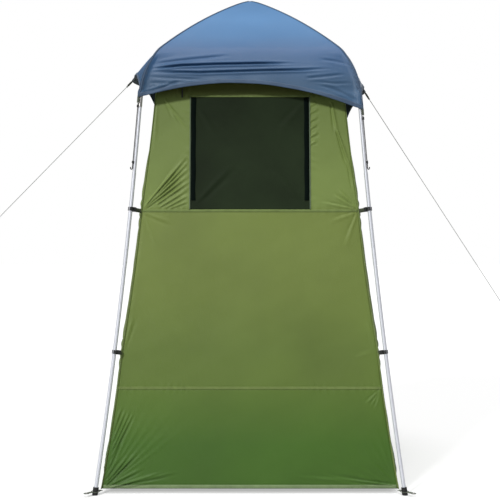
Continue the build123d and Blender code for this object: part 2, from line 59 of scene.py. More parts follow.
# ---------------------------------------------------------------- sizes shared with the frame
SIDES = {-1: "left", 1: "right"}
CORNERS = {"front_left": (-1, -1), "front_right": (1, -1), "rear_left": (-1, 1), "rear_right": (1, 1)}
LEVELS = (0.020, 0.436, 1.205, 1.850)
HALVES = (0.623, 0.565, 0.471, 0.404)
FOOT_Z, KNEE_Z, WAIST_Z, EAVE_Z = LEVELS
CLIP_LOW, CLIP_HIGH = 0.592, WAIST_Z
WINDOW_HALF, WINDOW_TOP = 0.262, 1.705
DOOR_HALF, DOOR_TOP, DOOR_BOTTOM, DOOR_GAP = 0.280, 1.560, 0.024, 0.0025
OPENING_HALF, OPENING_TOP = DOOR_HALF + DOOR_GAP, DOOR_TOP + DOOR_GAP
REAR_SLOPE = (HALVES[0] - HALVES[-1]) / (EAVE_Z - FOOT_Z)
CABIN_THICKNESS = 0.0009
FLY_TIPS = {-1: 1.694, 1: 1.639}
FLY_ARCH_TOP = 1.756
EARS = {-1: Vector((-0.576, 0, 1.846)), 1: Vector((0.562, 0, 1.791))}
GUY_DROP = {-1: math.radians(45.6), 1: math.radians(57.0)}
GUY_LENGTH = {-1: 0.960, 1: 1.248}


def along_guy(side, distance):
    """Point on a guy rope's line at a distance from the fly's ear."""
    direction = Vector((side * math.cos(GUY_DROP[side]), 0, -math.sin(GUY_DROP[side])))
    return EARS[side] + direction * distance


# ---------------------------------------------------------------- mesh helpers
def smoothstep(x):
    x = np.clip(x, 0, 1)
    return x * x * (3 - 2 * x)


def new_object(name, data):
    obj = bpy.data.objects.new(name, data)
    bpy.context.scene.collection.objects.link(obj)
    return obj


def mesh_object(name, verts, faces, material, uv=None, smooth=True):
    """A mesh from arrays of points and faces; uv holds one pair per vertex."""
    mesh = bpy.data.meshes.new(name)
    mesh.from_pydata([tuple(v) for v in np.asarray(verts, float)], [], [tuple(f) for f in faces])
    if uv is not None:
        layer = mesh.uv_layers.new(name="UVMap")
        loops = np.empty(len(mesh.loops), int)
        mesh.loops.foreach_get("vertex_index", loops)
        layer.data.foreach_set("uv", np.asarray(uv, float)[loops].ravel())
    if smooth:
        mesh.shade_smooth()
    mesh.materials.append(material)
    mesh.update()
    return new_object(name, mesh)


def grid_faces(rows, columns, wrap=False, keep=None, flip=False):
    """Quads of a grid whose vertices run along the columns first; flip turns them to face the other way."""
    faces = []
    for row in range(rows - 1):
        for column in range(columns if wrap else columns - 1):
            if keep is None or keep(row, column):
                after = (column + 1) % columns
                faces.append((
                    row * columns + column, row * columns + after,
                    (row + 1) * columns + after, (row + 1) * columns + column,
                ))
    return [face[::-1] for face in faces] if flip else faces


def end_caps(rows, columns):
    """The two faces that close a tube's or band's ends."""
    return [tuple(range(columns))[::-1], tuple(range((rows - 1) * columns, rows * columns))]


def ring_faces(count):
    """Quads round a closed ring of four-point sections."""
    faces = []
    for i in range(count):
        j = (i + 1) % count
        faces += [(i * 4 + k, j * 4 + k, j * 4 + (k + 1) % 4, i * 4 + (k + 1) % 4) for k in range(4)]
    return faces


def thicken(obj, thickness, offset=-1.0):
    """Gives a sheet its cloth thickness."""
    modifier = obj.modifiers.new("thickness", "SOLIDIFY")
    modifier.thickness = thickness
    modifier.offset = offset
    return obj


def settle(piece, slot, *nodes, body="frame"):
    """Fixes a piece to its body, in place of the nodes that it stands for; slot is not used."""
    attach(piece, body)
    if nodes:
        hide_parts(*nodes)


# A band's cross-section, as shares of its half width and half thickness.
BAND_SECTION = (
    (-1, -0.25), (-0.97, -1), (0, -1), (0.97, -1), (1, -0.25),
    (1, 0.25), (0.97, 1), (0, 1), (-0.97, 1), (-1, 0.25),
)


def ribbon_arrays(path, across, thickness):
    """Closed band along path, as (points, faces, uv); across holds each point's half-width vector."""
    path, across = np.asarray(path, float), np.asarray(across, float)
    tangent = np.gradient(path, axis=0)
    normal = np.cross(tangent, across)
    normal /= np.linalg.norm(normal, axis=1)[:, None]
    half = thickness / 2
    length = np.concatenate([[0], np.cumsum(np.linalg.norm(np.diff(path, axis=0), axis=1))])
    width = np.linalg.norm(across, axis=1)
    verts, uv = [], []
    for i, point in enumerate(path):
        for a, n in BAND_SECTION:
            verts.append(point + across[i] * a + normal[i] * n * half)
            uv.append((length[i], a * width[i]))
    rows, columns = len(path), len(BAND_SECTION)
    return np.array(verts), grid_faces(rows, columns, wrap=True) + end_caps(rows, columns), np.array(uv)


def tube_arrays(path, radius, sides):
    """Round tube along path, closed at its ends. Returns points, faces and uv."""
    path = np.asarray(path, float)
    tangent = np.gradient(path, axis=0)
    tangent /= np.linalg.norm(tangent, axis=1)[:, None]
    side = np.cross(tangent[0], (0.31, 0.52, 0.79))
    verts, uv = [], []
    for i, point in enumerate(path):
        side = side - tangent[i] * side.dot(tangent[i])
        side /= np.linalg.norm(side)
        up = np.cross(tangent[i], side)
        for k in range(sides):
            angle = math.tau * k / sides
            verts.append(point + (side * math.cos(angle) + up * math.sin(angle)) * radius)
            uv.append((i / len(path), k / sides))
    rows = len(path)
    return np.array(verts), grid_faces(rows, sides, wrap=True) + end_caps(rows, sides), np.array(uv)


def joined(name, pieces, material):
    """One object from several (points, faces, uv) sets."""
    verts, faces, uv, base = [], [], [], 0
    for points, quads, pairs in pieces:
        verts.append(points)
        uv.append(pairs)
        faces += [tuple(i + base for i in face) for face in quads]
        base += len(points)
    return mesh_object(name, np.concatenate(verts), faces, material, np.concatenate(uv))


# ---------------------------------------------------------------- materials
def node(tree, kind, **values):
    item = tree.nodes.new(kind)
    for key, value in values.items():
        setattr(item, key, value)
    return item


def base_material(name, colour, roughness, metallic=0.0, sheen=0.0):
    """A principled material, its node tree and its shader."""
    material = bpy.data.materials.new(name)
    material.use_nodes = True
    tree = material.node_tree
    shader = tree.nodes["Principled BSDF"]
    shader.inputs["Base Color"].default_value = (*colour, 1)
    shader.inputs["Roughness"].default_value = roughness
    shader.inputs["Metallic"].default_value = metallic
    shader.inputs["Sheen Weight"].default_value = sheen
    return material, tree, shader


def noise_texture(tree, coordinates, scale, detail=2.0, roughness=0.5):
    item = node(tree, "ShaderNodeTexNoise")
    for key, value in (("Scale", scale), ("Detail", detail), ("Roughness", roughness)):
        item.inputs[key].default_value = value
    tree.links.new(coordinates, item.inputs["Vector"])
    return item.outputs["Fac"]


def scaled(tree, coordinates, scale):
    item = node(tree, "ShaderNodeMapping")
    item.inputs["Scale"].default_value = scale
    tree.links.new(coordinates, item.inputs["Vector"])
    return item.outputs["Vector"]


def mottle(tree, coordinates, shader, colour, spread, scale):
    """Slow colour variation over a surface; returns the colour that it gives the shader."""
    noise = noise_texture(tree, coordinates, scale, 5.0)
    ramp = node(tree, "ShaderNodeValToRGB")
    ramp.color_ramp.elements[0].position = 0.3
    ramp.color_ramp.elements[1].position = 0.7
    ramp.color_ramp.elements[0].color = (*[c * (1 - spread) for c in colour], 1)
    ramp.color_ramp.elements[1].color = (*[min(1, c * (1 + spread)) for c in colour], 1)
    tree.links.new(noise, ramp.inputs["Fac"])
    tree.links.new(ramp.outputs["Color"], shader.inputs["Base Color"])
    return ramp.outputs["Color"]


def wave(tree, coordinates, direction, scale):
    item = node(tree, "ShaderNodeTexWave", wave_type="BANDS", bands_direction=direction, wave_profile="SIN")
    item.inputs["Scale"].default_value = scale
    item.inputs["Distortion"].default_value = 0.0
    tree.links.new(coordinates, item.inputs["Vector"])
    return item.outputs["Fac"]


def feed(tree, socket, value):
    """Sets a socket to a value, or links another socket to it."""
    if isinstance(value, (int, float, tuple)):
        socket.default_value = value
    else:
        tree.links.new(value, socket)


def mixed(tree, operation, a, b):
    item = node(tree, "ShaderNodeMath", operation=operation)
    for socket, value in zip(item.inputs, (a, b)):
        feed(tree, socket, value)
    return item.outputs[0]


def mixed_colour(tree, shader, factor, a, b, blend="MIX"):
    """Mixes two colours into the shader's base colour."""
    item = node(tree, "ShaderNodeMix", data_type="RGBA", blend_type=blend)
    for key, value in (("Factor", factor), ("A", a), ("B", b)):
        feed(tree, item.inputs[key], value)
    tree.links.new(item.outputs["Result"], shader.inputs["Base Color"])


def bump(tree, shader, height, distance, strength=1.0):
    item = node(tree, "ShaderNodeBump")
    item.inputs["Strength"].default_value = strength
    item.inputs["Distance"].default_value = distance
    tree.links.new(height, item.inputs["Height"])
    tree.links.new(item.outputs["Normal"], shader.inputs["Normal"])


WEAVE_HEIGHT, CRINKLE_HEIGHT = 0.0001, 0.0006
STITCH_PITCH, STITCH_HALF = 0.004, 0.0006


def cloth_material(
    name, colour, spread=0.07, roughness=0.55, sheen=0.15, thread=1500.0, specular=0.5, tone_and_shade_by_height=(),
):
    """Coated tent cloth: fine weave, a faint ripstop grid and small crinkles. The (height, factor) pairs of the
    last argument multiply the colour by height: painted shade, and on the cabin also its lower panel's own darker
    tone.
    """
    material, tree, shader = base_material(name, colour, roughness, sheen=sheen)
    shader.inputs["Specular IOR Level"].default_value = specular
    place = node(tree, "ShaderNodeTexCoord").outputs["Object"]
    plain = mottle(tree, place, shader, colour, spread, 3.0)
    # the colour is multiplied by a ramp over height: painted shade, and for the cabin also its lower panel's own
    # darker tone
    if tone_and_shade_by_height:
        split = node(tree, "ShaderNodeSeparateXYZ")
        tree.links.new(place, split.inputs["Vector"])
        height = mixed(tree, "MULTIPLY", split.outputs["Z"], 1 / TONE_AND_SHADE_TOP)
        shade = node(tree, "ShaderNodeValToRGB")
        stops = shade.color_ramp.elements
        while len(stops) < len(tone_and_shade_by_height):
            stops.new(0.5)
        for stop, (level, tone_and_shade_factor) in zip(stops, tone_and_shade_by_height):
            stop.position = level / TONE_AND_SHADE_TOP
            stop.color = (*tone_and_shade_factor, 1)
        tree.links.new(height, shade.inputs["Fac"])
        mixed_colour(tree, shader, 1.0, plain, shade.outputs["Color"], "MULTIPLY")
    weave = mixed(tree, "ADD", wave(tree, place, "Z", thread), wave(tree, place, "DIAGONAL", thread))
    grid = mixed(tree, "MAXIMUM", wave(tree, place, "Z", 60.0), wave(tree, place, "DIAGONAL", 42.0))
    rip = mixed(tree, "MULTIPLY", mixed(tree, "POWER", grid, 24.0), 0.5)
    crumple = mixed(tree, "MULTIPLY", noise_texture(tree, place, 24.0, 6.0, 0.6), CRINKLE_HEIGHT / WEAVE_HEIGHT)
    height = mixed(tree, "ADD", mixed(tree, "ADD", weave, rip), crumple)
    bump(tree, shader, height, WEAVE_HEIGHT)
    return material


def stitched_material(name, colour, thread_colour, lines=(0.0,), roughness=0.7, rib=900.0, specular=0.35):
    """Ribbed tape with rows of stitches at the given offsets across its width."""
    material, tree, shader = base_material(name, colour, roughness, sheen=0.1 if specular > 0.2 else 0.0)
    shader.inputs["Specular IOR Level"].default_value = specular
    source = node(tree, "ShaderNodeTexCoord")
    split = node(tree, "ShaderNodeSeparateXYZ")
    tree.links.new(source.outputs["UV"], split.inputs["Vector"])
    along, across = split.outputs["X"], split.outputs["Y"]
    beat = mixed(tree, "SINE", mixed(tree, "MULTIPLY", along, math.tau / STITCH_PITCH), 0)
    dash = mixed(tree, "GREATER_THAN", beat, -0.35)
    rows = None
    for line in lines:
        away = mixed(tree, "ABSOLUTE", mixed(tree, "SUBTRACT", across, line), 0)
        row = mixed(tree, "LESS_THAN", away, STITCH_HALF)
        rows = row if rows is None else mixed(tree, "MAXIMUM", rows, row)
    stitch = mixed(tree, "MULTIPLY", dash, rows)
    plain = mottle(tree, source.outputs["Object"], shader, colour, 0.12, 30.0)
    mixed_colour(tree, shader, stitch, plain, (*thread_colour, 1))
    ribs = mixed(tree, "SINE", mixed(tree, "MULTIPLY", along, rib * math.tau), 0)
    height = mixed(tree, "ADD", mixed(tree, "MULTIPLY", ribs, 0.4), mixed(tree, "MULTIPLY", stitch, 2.0))
    bump(tree, shader, height, 0.0002)
    return material


def moulded_material(name, colour, roughness=0.45):
    """Moulded plastic or rubber with a fine grain and worn, lighter spots."""
    material, tree, shader = base_material(name, colour, roughness)
    place = node(tree, "ShaderNodeTexCoord").outputs["Object"]
    mottle(tree, place, shader, colour, 0.35, 60.0)
    bump(tree, shader, noise_texture(tree, place, 900.0), 0.00015)
    return material


def metal_material(name, colour, roughness, metallic, streak=(40.0, 40.0, 2.0)):
    """Drawn metal with long faint streaks and dull patches."""
    material, tree, shader = base_material(name, colour, roughness, metallic=metallic)
    place = node(tree, "ShaderNodeTexCoord").outputs["Object"]
    drawn = scaled(tree, place, streak)
    mottle(tree, drawn, shader, colour, 0.08, 6.0)
    noise = noise_texture(tree, drawn, 9.0)
    ramp = node(tree, "ShaderNodeMapRange")
    ramp.inputs["To Min"].default_value = roughness * 0.75
    ramp.inputs["To Max"].default_value = roughness * 1.35
    tree.links.new(noise, ramp.inputs["Value"])
    tree.links.new(ramp.outputs["Result"], shader.inputs["Roughness"])
    bump(tree, shader, noise, 0.0001, 0.4)
    return material


def braided_material(name, colour, fleck):
    """Braided sheath of a rope or elastic cord."""
    material, tree, shader = base_material(name, colour, 0.75, sheen=0.2)
    place = node(tree, "ShaderNodeTexCoord").outputs["Object"]
    mirrored = scaled(tree, place, (-1, 1, 1))
    strands = [wave(tree, source, "DIAGONAL", 260.0) for source in (place, mirrored)]
    both = mixed(tree, "MULTIPLY", *strands)
    mixed_colour(tree, shader, both, (*colour, 1), (*fleck, 1))
    bump(tree, shader, both, 0.0004)
    return material


GREEN = (0.200, 0.276, 0.066)
BLUE = (0.090, 0.235, 0.465)
TONE_AND_SHADE_TOP = 2.25
# the cabin cloth's colour by height: painted shade darkening it towards the bottom, the lower panel's own darker
# tone below the knee seam, and painted shade of the fly just under its hem
CABIN_TONE_AND_SHADE = (
    (0.00, (0.26, 0.47, 0.18)), (0.20, (0.29, 0.51, 0.20)), (0.425, (0.52, 0.645, 0.39)),
    (0.445, (0.61, 0.68, 0.50)), (0.60, (0.66, 0.71, 0.56)), (0.85, (0.86, 0.85, 0.73)),
    (1.19, (0.95, 0.91, 0.80)), (1.22, (1.0, 1.0, 1.0)), (1.69, (1.0, 1.0, 1.0)), (1.735, (0.30, 0.27, 0.09)),
)
# the fly's colour by height: painted shade, darker down its lobes and skirt than on its top
FLY_PAINTED_SHADE = (
    (1.66, (0.60, 0.55, 0.52)), (1.76, (0.37, 0.385, 0.38)), (1.86, (0.35, 0.42, 0.48)),
    (1.92, (0.39, 0.48, 0.57)), (1.995, (0.64, 0.76, 0.81)), (2.10, (1.0, 1.0, 1.0)), (2.20, (0.96, 0.96, 0.97)),
)
cabin_cloth = cloth_material(
    "cabin cloth", GREEN, spread=0.09, roughness=0.45, sheen=0.03, specular=0.35, tone_and_shade_by_height=CABIN_TONE_AND_SHADE,
)
door_cloth = cloth_material(
    "door cloth", GREEN, spread=0.09, roughness=0.45, sheen=0.04, specular=0.45, tone_and_shade_by_height=CABIN_TONE_AND_SHADE,
)
fly_cloth = cloth_material(
    "fly cloth", BLUE, spread=0.06, roughness=0.45, sheen=0.0, specular=0.45, tone_and_shade_by_height=FLY_PAINTED_SHADE,
)
# the fly's inner face: the blue darkened as painted shade under the fly
fly_underside_shade = cloth_material("fly underside painted shade", (0.030, 0.050, 0.085), roughness=0.6, sheen=0.0, specular=0.3)
# the net is opaque: its near-black colour is the black mesh's own and painted shade of the dim cabin behind it
net_and_painted_shade = cloth_material(
    "net", (0.015, 0.026, 0.010), spread=0.35, roughness=0.6, sheen=0.0, thread=700.0, specular=0.12,
)
green_tape = stitched_material("green seam", (0.175, 0.240, 0.064), (0.20, 0.27, 0.08), (-0.003, 0.003))
hem_tape = stitched_material("hem", (0.19, 0.27, 0.12), (0.24, 0.32, 0.17), (-0.006, 0.006))
blue_tape = stitched_material("blue seam", (0.060, 0.105, 0.180), (0.09, 0.14, 0.22), (-0.003, 0.003))
piping_tape = stitched_material("window piping", (0.13, 0.18, 0.11), (0.2, 0.26, 0.16), (0.0,))
black_tape = stitched_material(
    "zip tape", (0.001, 0.004, 0.003), (0.006, 0.011, 0.009), (-0.007, 0.007), specular=0.05,
)
grey_webbing = stitched_material("webbing", (0.10, 0.12, 0.085), (0.2, 0.22, 0.18), (-0.007, 0.007), rib=600.0)
dark_webbing = stitched_material(
    "dark webbing", (0.060, 0.072, 0.042), (0.12, 0.14, 0.09), (-0.007, 0.007), rib=600.0,
)
tube_metal = metal_material("leg tube", (0.74, 0.76, 0.82), 0.42, 0.35)
plated = metal_material("nickel plate", (0.70, 0.69, 0.66), 0.22, 1.0, (1.0, 1.0, 1.0))
pole_fibre = moulded_material("glass fibre", (0.05, 0.052, 0.058), 0.35)
black_plastic = moulded_material("black plastic", (0.012, 0.013, 0.014))
black_rubber = moulded_material("black rubber", (0.010, 0.010, 0.010), 0.75)
rope_braid = braided_material("rope braid", (0.42, 0.43, 0.43), (0.62, 0.63, 0.62))
elastic_braid = braided_material("elastic braid", (0.010, 0.011, 0.012), (0.05, 0.05, 0.05))


# ---------------------------------------------------------------- cords
def cord_curve(name, points, radius, material):
    """A cord's centreline with its real thickness."""
    data = bpy.data.curves.new(name, "CURVE")
    data.dimensions = "3D"
    data.bevel_depth = radius
    data.bevel_resolution = 3
    data.resolution_u = 8
    data.use_fill_caps = True
    spline = data.splines.new("NURBS")
    spline.points.add(len(points) - 1)
    for item, point in zip(spline.points, points):
        item.co = (*point, 1)
    spline.order_u = 3
    spline.use_endpoint_u = True
    data.materials.append(material)
    return new_object(name, data)


KNOT_TURNS = 3


def hitch(name, centre, direction, rope_radius, wrap_radius, material):
    """A knot: turns of rope wound round the standing part."""
    direction = Vector(direction).normalized()
    side = direction.cross(Vector((0, 1, 0))).normalized()
    other = direction.cross(side)
    steps = KNOT_TURNS * 16
    path = []
    for i in range(steps + 1):
        angle = math.tau * i / 16
        lift = (i / steps - 0.5) * KNOT_TURNS * rope_radius * 2.1
        around = (side * math.cos(angle) + other * math.sin(angle)) * wrap_radius
        path.append(Vector(centre) + direction * lift + around)
    verts, faces, uv = tube_arrays([tuple(p) for p in path], rope_radius, 8)
    return mesh_object(name, verts, faces, material, uv)


GUY_RADIUS, GUY_START = 0.0015, 0.025
for side, word in SIDES.items():
    start, middle_point, end = (
        along_guy(side, GUY_START + GUY_LENGTH[side] * f) for f in (0.0, 0.5, 1.0)
    )
    rope = cord_curve(f"guy_rope_{word}_braid", (start, middle_point, end), GUY_RADIUS, rope_braid)
    direction = (end - start).normalized()
    for end_word, place in (("ear", 0.006), ("peg", GUY_LENGTH[side] - 0.008)):
        knot = hitch(
            f"guy_knot_{word}_{end_word}", along_guy(side, GUY_START + place), direction,
            GUY_RADIUS * 0.95, GUY_RADIUS * 1.9, rope_braid,
        )
        settle(knot, "guy_rope")
    settle(rope, "guy_rope", f"guy_rope_{word}")


# The legs bow gently inward; a point beside a leg is given by its height and its distance out.
FOOT_R, FOOT_LEAN, LEG_BEND = 0.650 * math.sqrt(2), math.radians(10.6), 20.340


def leg_lean(z):
    return math.asin(math.sin(FOOT_LEAN) - z / LEG_BEND)


def leg_distance(z):
    """How far a leg's axis stands from the tent's middle, along its diagonal."""
    return FOOT_R - LEG_BEND * (math.cos(leg_lean(z)) - math.cos(FOOT_LEAN))


def beside_leg(corner, z, out=0.0, aside=0.0):
    """Point beside a leg: out along its diagonal, aside square to that."""
    sx, sy = CORNERS[corner]
    lean = leg_lean(z)
    r = leg_distance(z) + out * math.cos(lean)
    return Vector((
        (sx * r + sy * aside) / math.sqrt(2), (sy * r - sx * aside) / math.sqrt(2), z + out * math.sin(lean),
    ))


CORD_OUT, CORD_RADIUS, HOOK_TOP = 0.0125, 0.002, 1.400
TAB_TOP, TAB_LENGTH, CORD_GAP = 0.003, 0.022, 0.0025
for corner, (sx, sy) in CORNERS.items():
    top = beside_leg(corner, FLY_TIPS[sx] - TAB_TOP - TAB_LENGTH - CORD_GAP, CORD_OUT)
    low = beside_leg(corner, HOOK_TOP, CORD_OUT)
    body = f"corner_hook_{corner}"
    cord = cord_curve(
        f"elastic_cord_{corner}_braid", (top, (top + low) / 2, low), CORD_RADIUS, elastic_braid,
    )
    run = (low - top).normalized()
    for word, place in (("top", top + run * 0.013), ("hook", low - run * 0.007)):
        knot = hitch(
            f"elastic_knot_{corner}_{word}", place, run, CORD_RADIUS * 0.8, CORD_RADIUS * 1.7, elastic_braid,
        )
        settle(knot, "elastic_cord", body=body)
    settle(cord, "elastic_cord", f"elastic_cord_{corner}", body=body)

# ---------------------------------------------------------------- fly
TOP_LEAN = leg_lean(1.676)
SHOULDER_R, SHOULDER_Z, SHOULDER_RADIUS = 0.6773 - 0.024 * math.tan(TOP_LEAN), 1.700, 0.320
SHOULDER_LEAN, APEX_LEAN = math.radians(54), math.radians(68)
SHOULDER_CENTRE = (
    SHOULDER_R - SHOULDER_RADIUS * math.cos(TOP_LEAN), SHOULDER_Z - SHOULDER_RADIUS * math.sin(TOP_LEAN),
)
BEND_END = (
    SHOULDER_CENTRE[0] + SHOULDER_RADIUS * math.cos(SHOULDER_LEAN),
    SHOULDER_CENTRE[1] + SHOULDER_RADIUS * math.sin(SHOULDER_LEAN),
)
CROWN_RADIUS = BEND_END[0] / (math.cos(SHOULDER_LEAN) - math.cos(APEX_LEAN))
CROWN_CENTRE = (
    BEND_END[0] - CROWN_RADIUS * math.cos(SHOULDER_LEAN), BEND_END[1] - CROWN_RADIUS * math.sin(SHOULDER_LEAN),
)


def ridge_profile(offset):
    """Distance from the axis and height along a ridge of the fly, from the apex down, and the run's length."""
    crown = np.linspace(APEX_LEAN, SHOULDER_LEAN, 60)
    bend = np.linspace(SHOULDER_LEAN, TOP_LEAN, 60)[1:]
    r = np.concatenate([
        CROWN_CENTRE[0] + (CROWN_RADIUS + offset) * np.cos(crown),
        SHOULDER_CENTRE[0] + (SHOULDER_RADIUS + offset) * np.cos(bend),
    ])
    z = np.concatenate([
        CROWN_CENTRE[1] + (CROWN_RADIUS + offset) * np.sin(crown),
        SHOULDER_CENTRE[1] + (SHOULDER_RADIUS + offset) * np.sin(bend),
    ])
    # the skirt runs on straight to below the lowest tip
    drop = z[-1] - 1.60
    r = np.append(r, r[-1] + drop * math.tan(TOP_LEAN))
    z = np.append(z, 1.60)
    r[0] = 0.0
    run = np.concatenate([[0], np.cumsum(np.hypot(np.diff(r), np.diff(z)))])
    return r, z, run


RIDGE_R, RIDGE_Z, RIDGE_RUN = ridge_profile(0.0155)
EAR_START = 0.300
GORES = {"front": (0, -1), "right": (1, 0), "rear": (0, 1), "left": (-1, 0)}

# Creases of the front and rear lobes: points across the lobe (X, z), depth and width, which the factors scale.
# They sag between the corners.
CREASE_DEPTH, CREASE_WIDTH, CREASE_ROLL = 1.35, 0.62, 0.55
FRONT_CREASES = (
    (((-0.455, 1.823), (-0.310, 1.839), (-0.150, 1.846), (0.033, 1.850), (0.218, 1.850)), 0.0084, 0.0066),
    (
        ((-0.455, 1.813), (-0.330, 1.808), (-0.222, 1.806), (0.033, 1.815), (0.218, 1.819), (0.394, 1.826)),
        0.0070, 0.0068,
    ),
    (((-0.442, 1.845), (-0.310, 1.863), (-0.180, 1.878), (-0.068, 1.889)), 0.0030, 0.0100),
    (((-0.452, 1.792), (-0.398, 1.784), (-0.300, 1.777), (-0.200, 1.773)), 0.0026, 0.0080),
    (((0.240, 1.779), (0.341, 1.790), (0.430, 1.800)), 0.0028, 0.0080),
    (((-0.470, 1.716), (-0.433, 1.722), (-0.376, 1.740), (-0.310, 1.765)), 0.0035, 0.0080),
    (((0.470, 1.672), (0.430, 1.700), (0.360, 1.735), (0.290, 1.752)), 0.0030, 0.0090),
    (((0.450, 1.760), (0.370, 1.756), (0.280, 1.764)), 0.0022, 0.0080),
    (((-0.452, 1.762), (-0.360, 1.757), (-0.270, 1.766)), 0.0020, 0.0080),
    (((0.446, 1.842), (0.380, 1.860), (0.300, 1.872)), 0.0024, 0.0090),
)


def crease(x, z, line, depth, width):
    """A valley along a polyline with a soft roll above and below it, fading out at both ends."""
    points = np.array(line, float)
    lengths = np.concatenate([[0], np.cumsum(np.linalg.norm(np.diff(points, axis=0), axis=1))])
    best = np.full(x.shape, 1e9)
    along = np.zeros_like(x)
    for (a, b), start, end in zip(zip(points, points[1:]), lengths, lengths[1:]):
        d = b - a
        t = np.clip(((x - a[0]) * d[0] + (z - a[1]) * d[1]) / d.dot(d), 0, 1)
        distance = np.hypot(x - a[0] - d[0] * t, z - a[1] - d[1] * t)
        nearer = distance < best
        best = np.where(nearer, distance, best)
        along = np.where(nearer, start + (end - start) * t, along)
    share = along / lengths[-1]
    fade = smoothstep(np.minimum(share / 0.18, (1 - share) / 0.30))
    valley = np.exp(-((best / width) ** 2))
    roll = np.exp(-(((best - 2.1 * width) / (1.2 * width)) ** 2))
    return depth * fade * (CREASE_ROLL * roll - valley)


def smooth_noise(a, b, scale, seed):
    """Slow waves over a surface, the same each run."""
    random = np.random.default_rng(seed)
    total = np.zeros_like(a)
    for _ in range(7):
        angle = random.uniform(0, math.pi)
        phase = random.uniform(0, math.tau)
        stretch = random.uniform(0.6, 1.8)
        total += np.sin((a * math.cos(angle) + b * math.sin(angle)) * math.tau * stretch / scale + phase)
    return total / 7


def fly_point(gore, s, t, out=0.0):
    """Points of the fly: s runs from one ridge (-1) to the next (1), t from apex (0) to lower edge (1)."""
    gx, gy = GORES[gore]
    s, t = np.broadcast_arrays(np.asarray(s, float), np.asarray(t, float))
    if gx:
        edge = np.full(s.shape, FLY_TIPS[gx])
    else:
        left, right = FLY_TIPS[-1], FLY_TIPS[1]
        edge = left * (1 - s) / 2 + right * (1 + s) / 2 + (FLY_ARCH_TOP - (left + right) / 2) * (1 - s * s)
    end = np.interp(-edge, -RIDGE_Z, RIDGE_RUN)
    run = end * t
    half = np.interp(run, RIDGE_RUN, RIDGE_R) / math.sqrt(2)
    z = np.interp(run, RIDGE_RUN, RIDGE_Z)
    # low down it hugs the pole, with a groove beside it, and widens again over the reducer
    reducer = smoothstep((1.730 - z) / 0.03)
    half = half - 0.0046 * smoothstep((1.930 - z) / 0.07) * (1 - reducer)
    beside = (1 - np.abs(s)) * half - 0.0100 * reducer
    groove = smoothstep((beside - 0.0115) / 0.007)
    groove = groove * np.exp(-((np.clip(beside - 0.019, 0, 1) / 0.085) ** 2))
    groove = -0.0085 * groove * smoothstep((1.905 - z) / 0.05)
    across = s * half
    reach = half.copy()
    if gx:
        start = np.interp(EAR_START * math.sqrt(2), RIDGE_R, RIDGE_RUN) / end
        start_z = np.interp(EAR_START * math.sqrt(2), RIDGE_R, RIDGE_Z)
        u = np.clip((t - start) / (1 - start), 0, 1)
        ear = EARS[gx]
        crest_x = EAR_START + (abs(ear.x) - 0.001 - EAR_START) * u
        crest_z = start_z + (ear.z - start_z) * u + 0.010 * np.sin(math.pi * u)
        pulled = t > start
        outward = (1 - np.abs(s)) ** 1.15
        # the lower edge runs high from the ear and drops near the corners, sooner at the rear right
        upward = 1 - np.abs(s) ** np.where((gx > 0) & (s > 0), 2.2, 4.0)
        reach = np.where(pulled, half + (crest_x - half) * outward, half)
        z = np.where(pulled, z + (crest_z - z) * upward, z)
    # between the ridges the cloth sags a little, and it is slack near its corners
    bare = 1 - s * s
    slack = -0.0075 * bare * np.sin(math.pi * np.clip(t, 0, 1)) ** 0.8
    if gx:
        slack = slack + np.sin(np.abs(s) * 19 + 6 * t) * (1 - np.abs(s)) * t ** 3 * 0.0022
        slack = slack + 0.0012 * smooth_noise(across, z, 0.16, 11 + gx) * bare
    else:
        mirrored = across * -gy
        for line, depth, width in FRONT_CREASES:
            slack = slack + crease(mirrored, z, line, depth * CREASE_DEPTH, width * CREASE_WIDTH)
        slack = slack + 0.0016 * smooth_noise(across, z * 1.6, 0.22, 3 + gy) * bare
        # the lower edge flares and gathers slightly
        flare = np.clip((t - 0.86) / 0.14, 0, 1) ** 2
        slack = slack + flare * bare * (0.004 + 0.0022 * np.sin(across * 34 + 0.6 * gy))
    lift = np.clip(1 - half / 0.42, 0, 1)       # how far the surface faces up
    level = out + slack * np.clip(1 - np.abs(s) ** 10, 0, 1) * np.clip(t * 6, 0, 1) + groove
    reach = reach + level * (1 - lift * 0.8)
    z = z + level * lift
    z = z - 0.004 * np.exp(-((half / 0.030) ** 2))      # the hub's round top
    if gy:
        return np.stack([across, reach * gy, z], -1)
    return np.stack([reach * gx, across, z], -1)


FLY_COLUMNS, FLY_ROWS = ((121, 151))


def merged(obj, distance=0.00002):
    """Joins the edges of a mesh that was made in separate grids."""
    mesh = bmesh.new()
    mesh.from_mesh(obj.data)
    bmesh.ops.remove_doubles(mesh, verts=mesh.verts, dist=distance)
    bmesh.ops.dissolve_degenerate(mesh, edges=mesh.edges, dist=distance)
    mesh.to_mesh(obj.data)
    mesh.free()
    obj.data.shade_smooth()
    return obj


def fly_piece(gore, s, t, out=0.0):
    """One grid of the fly as (points, faces, uv), rows along t; uv is in metres."""
    grid_s, grid_t = np.meshgrid(s, t)
    points = fly_point(gore, grid_s, grid_t, out)
    rows, columns = grid_s.shape
    faces = grid_faces(rows, columns, flip=gore in ("front", "right"))
    along = np.zeros((rows, columns))
    along[:, 1:] = np.cumsum(np.linalg.norm(np.diff(points, axis=1), axis=2), axis=1)
    down = np.zeros((rows, columns))
    down[1:] = np.cumsum(np.linalg.norm(np.diff(points, axis=0), axis=2), axis=0)
    return points.reshape(-1, 3), faces, np.stack([along, down], -1).reshape(-1, 2)


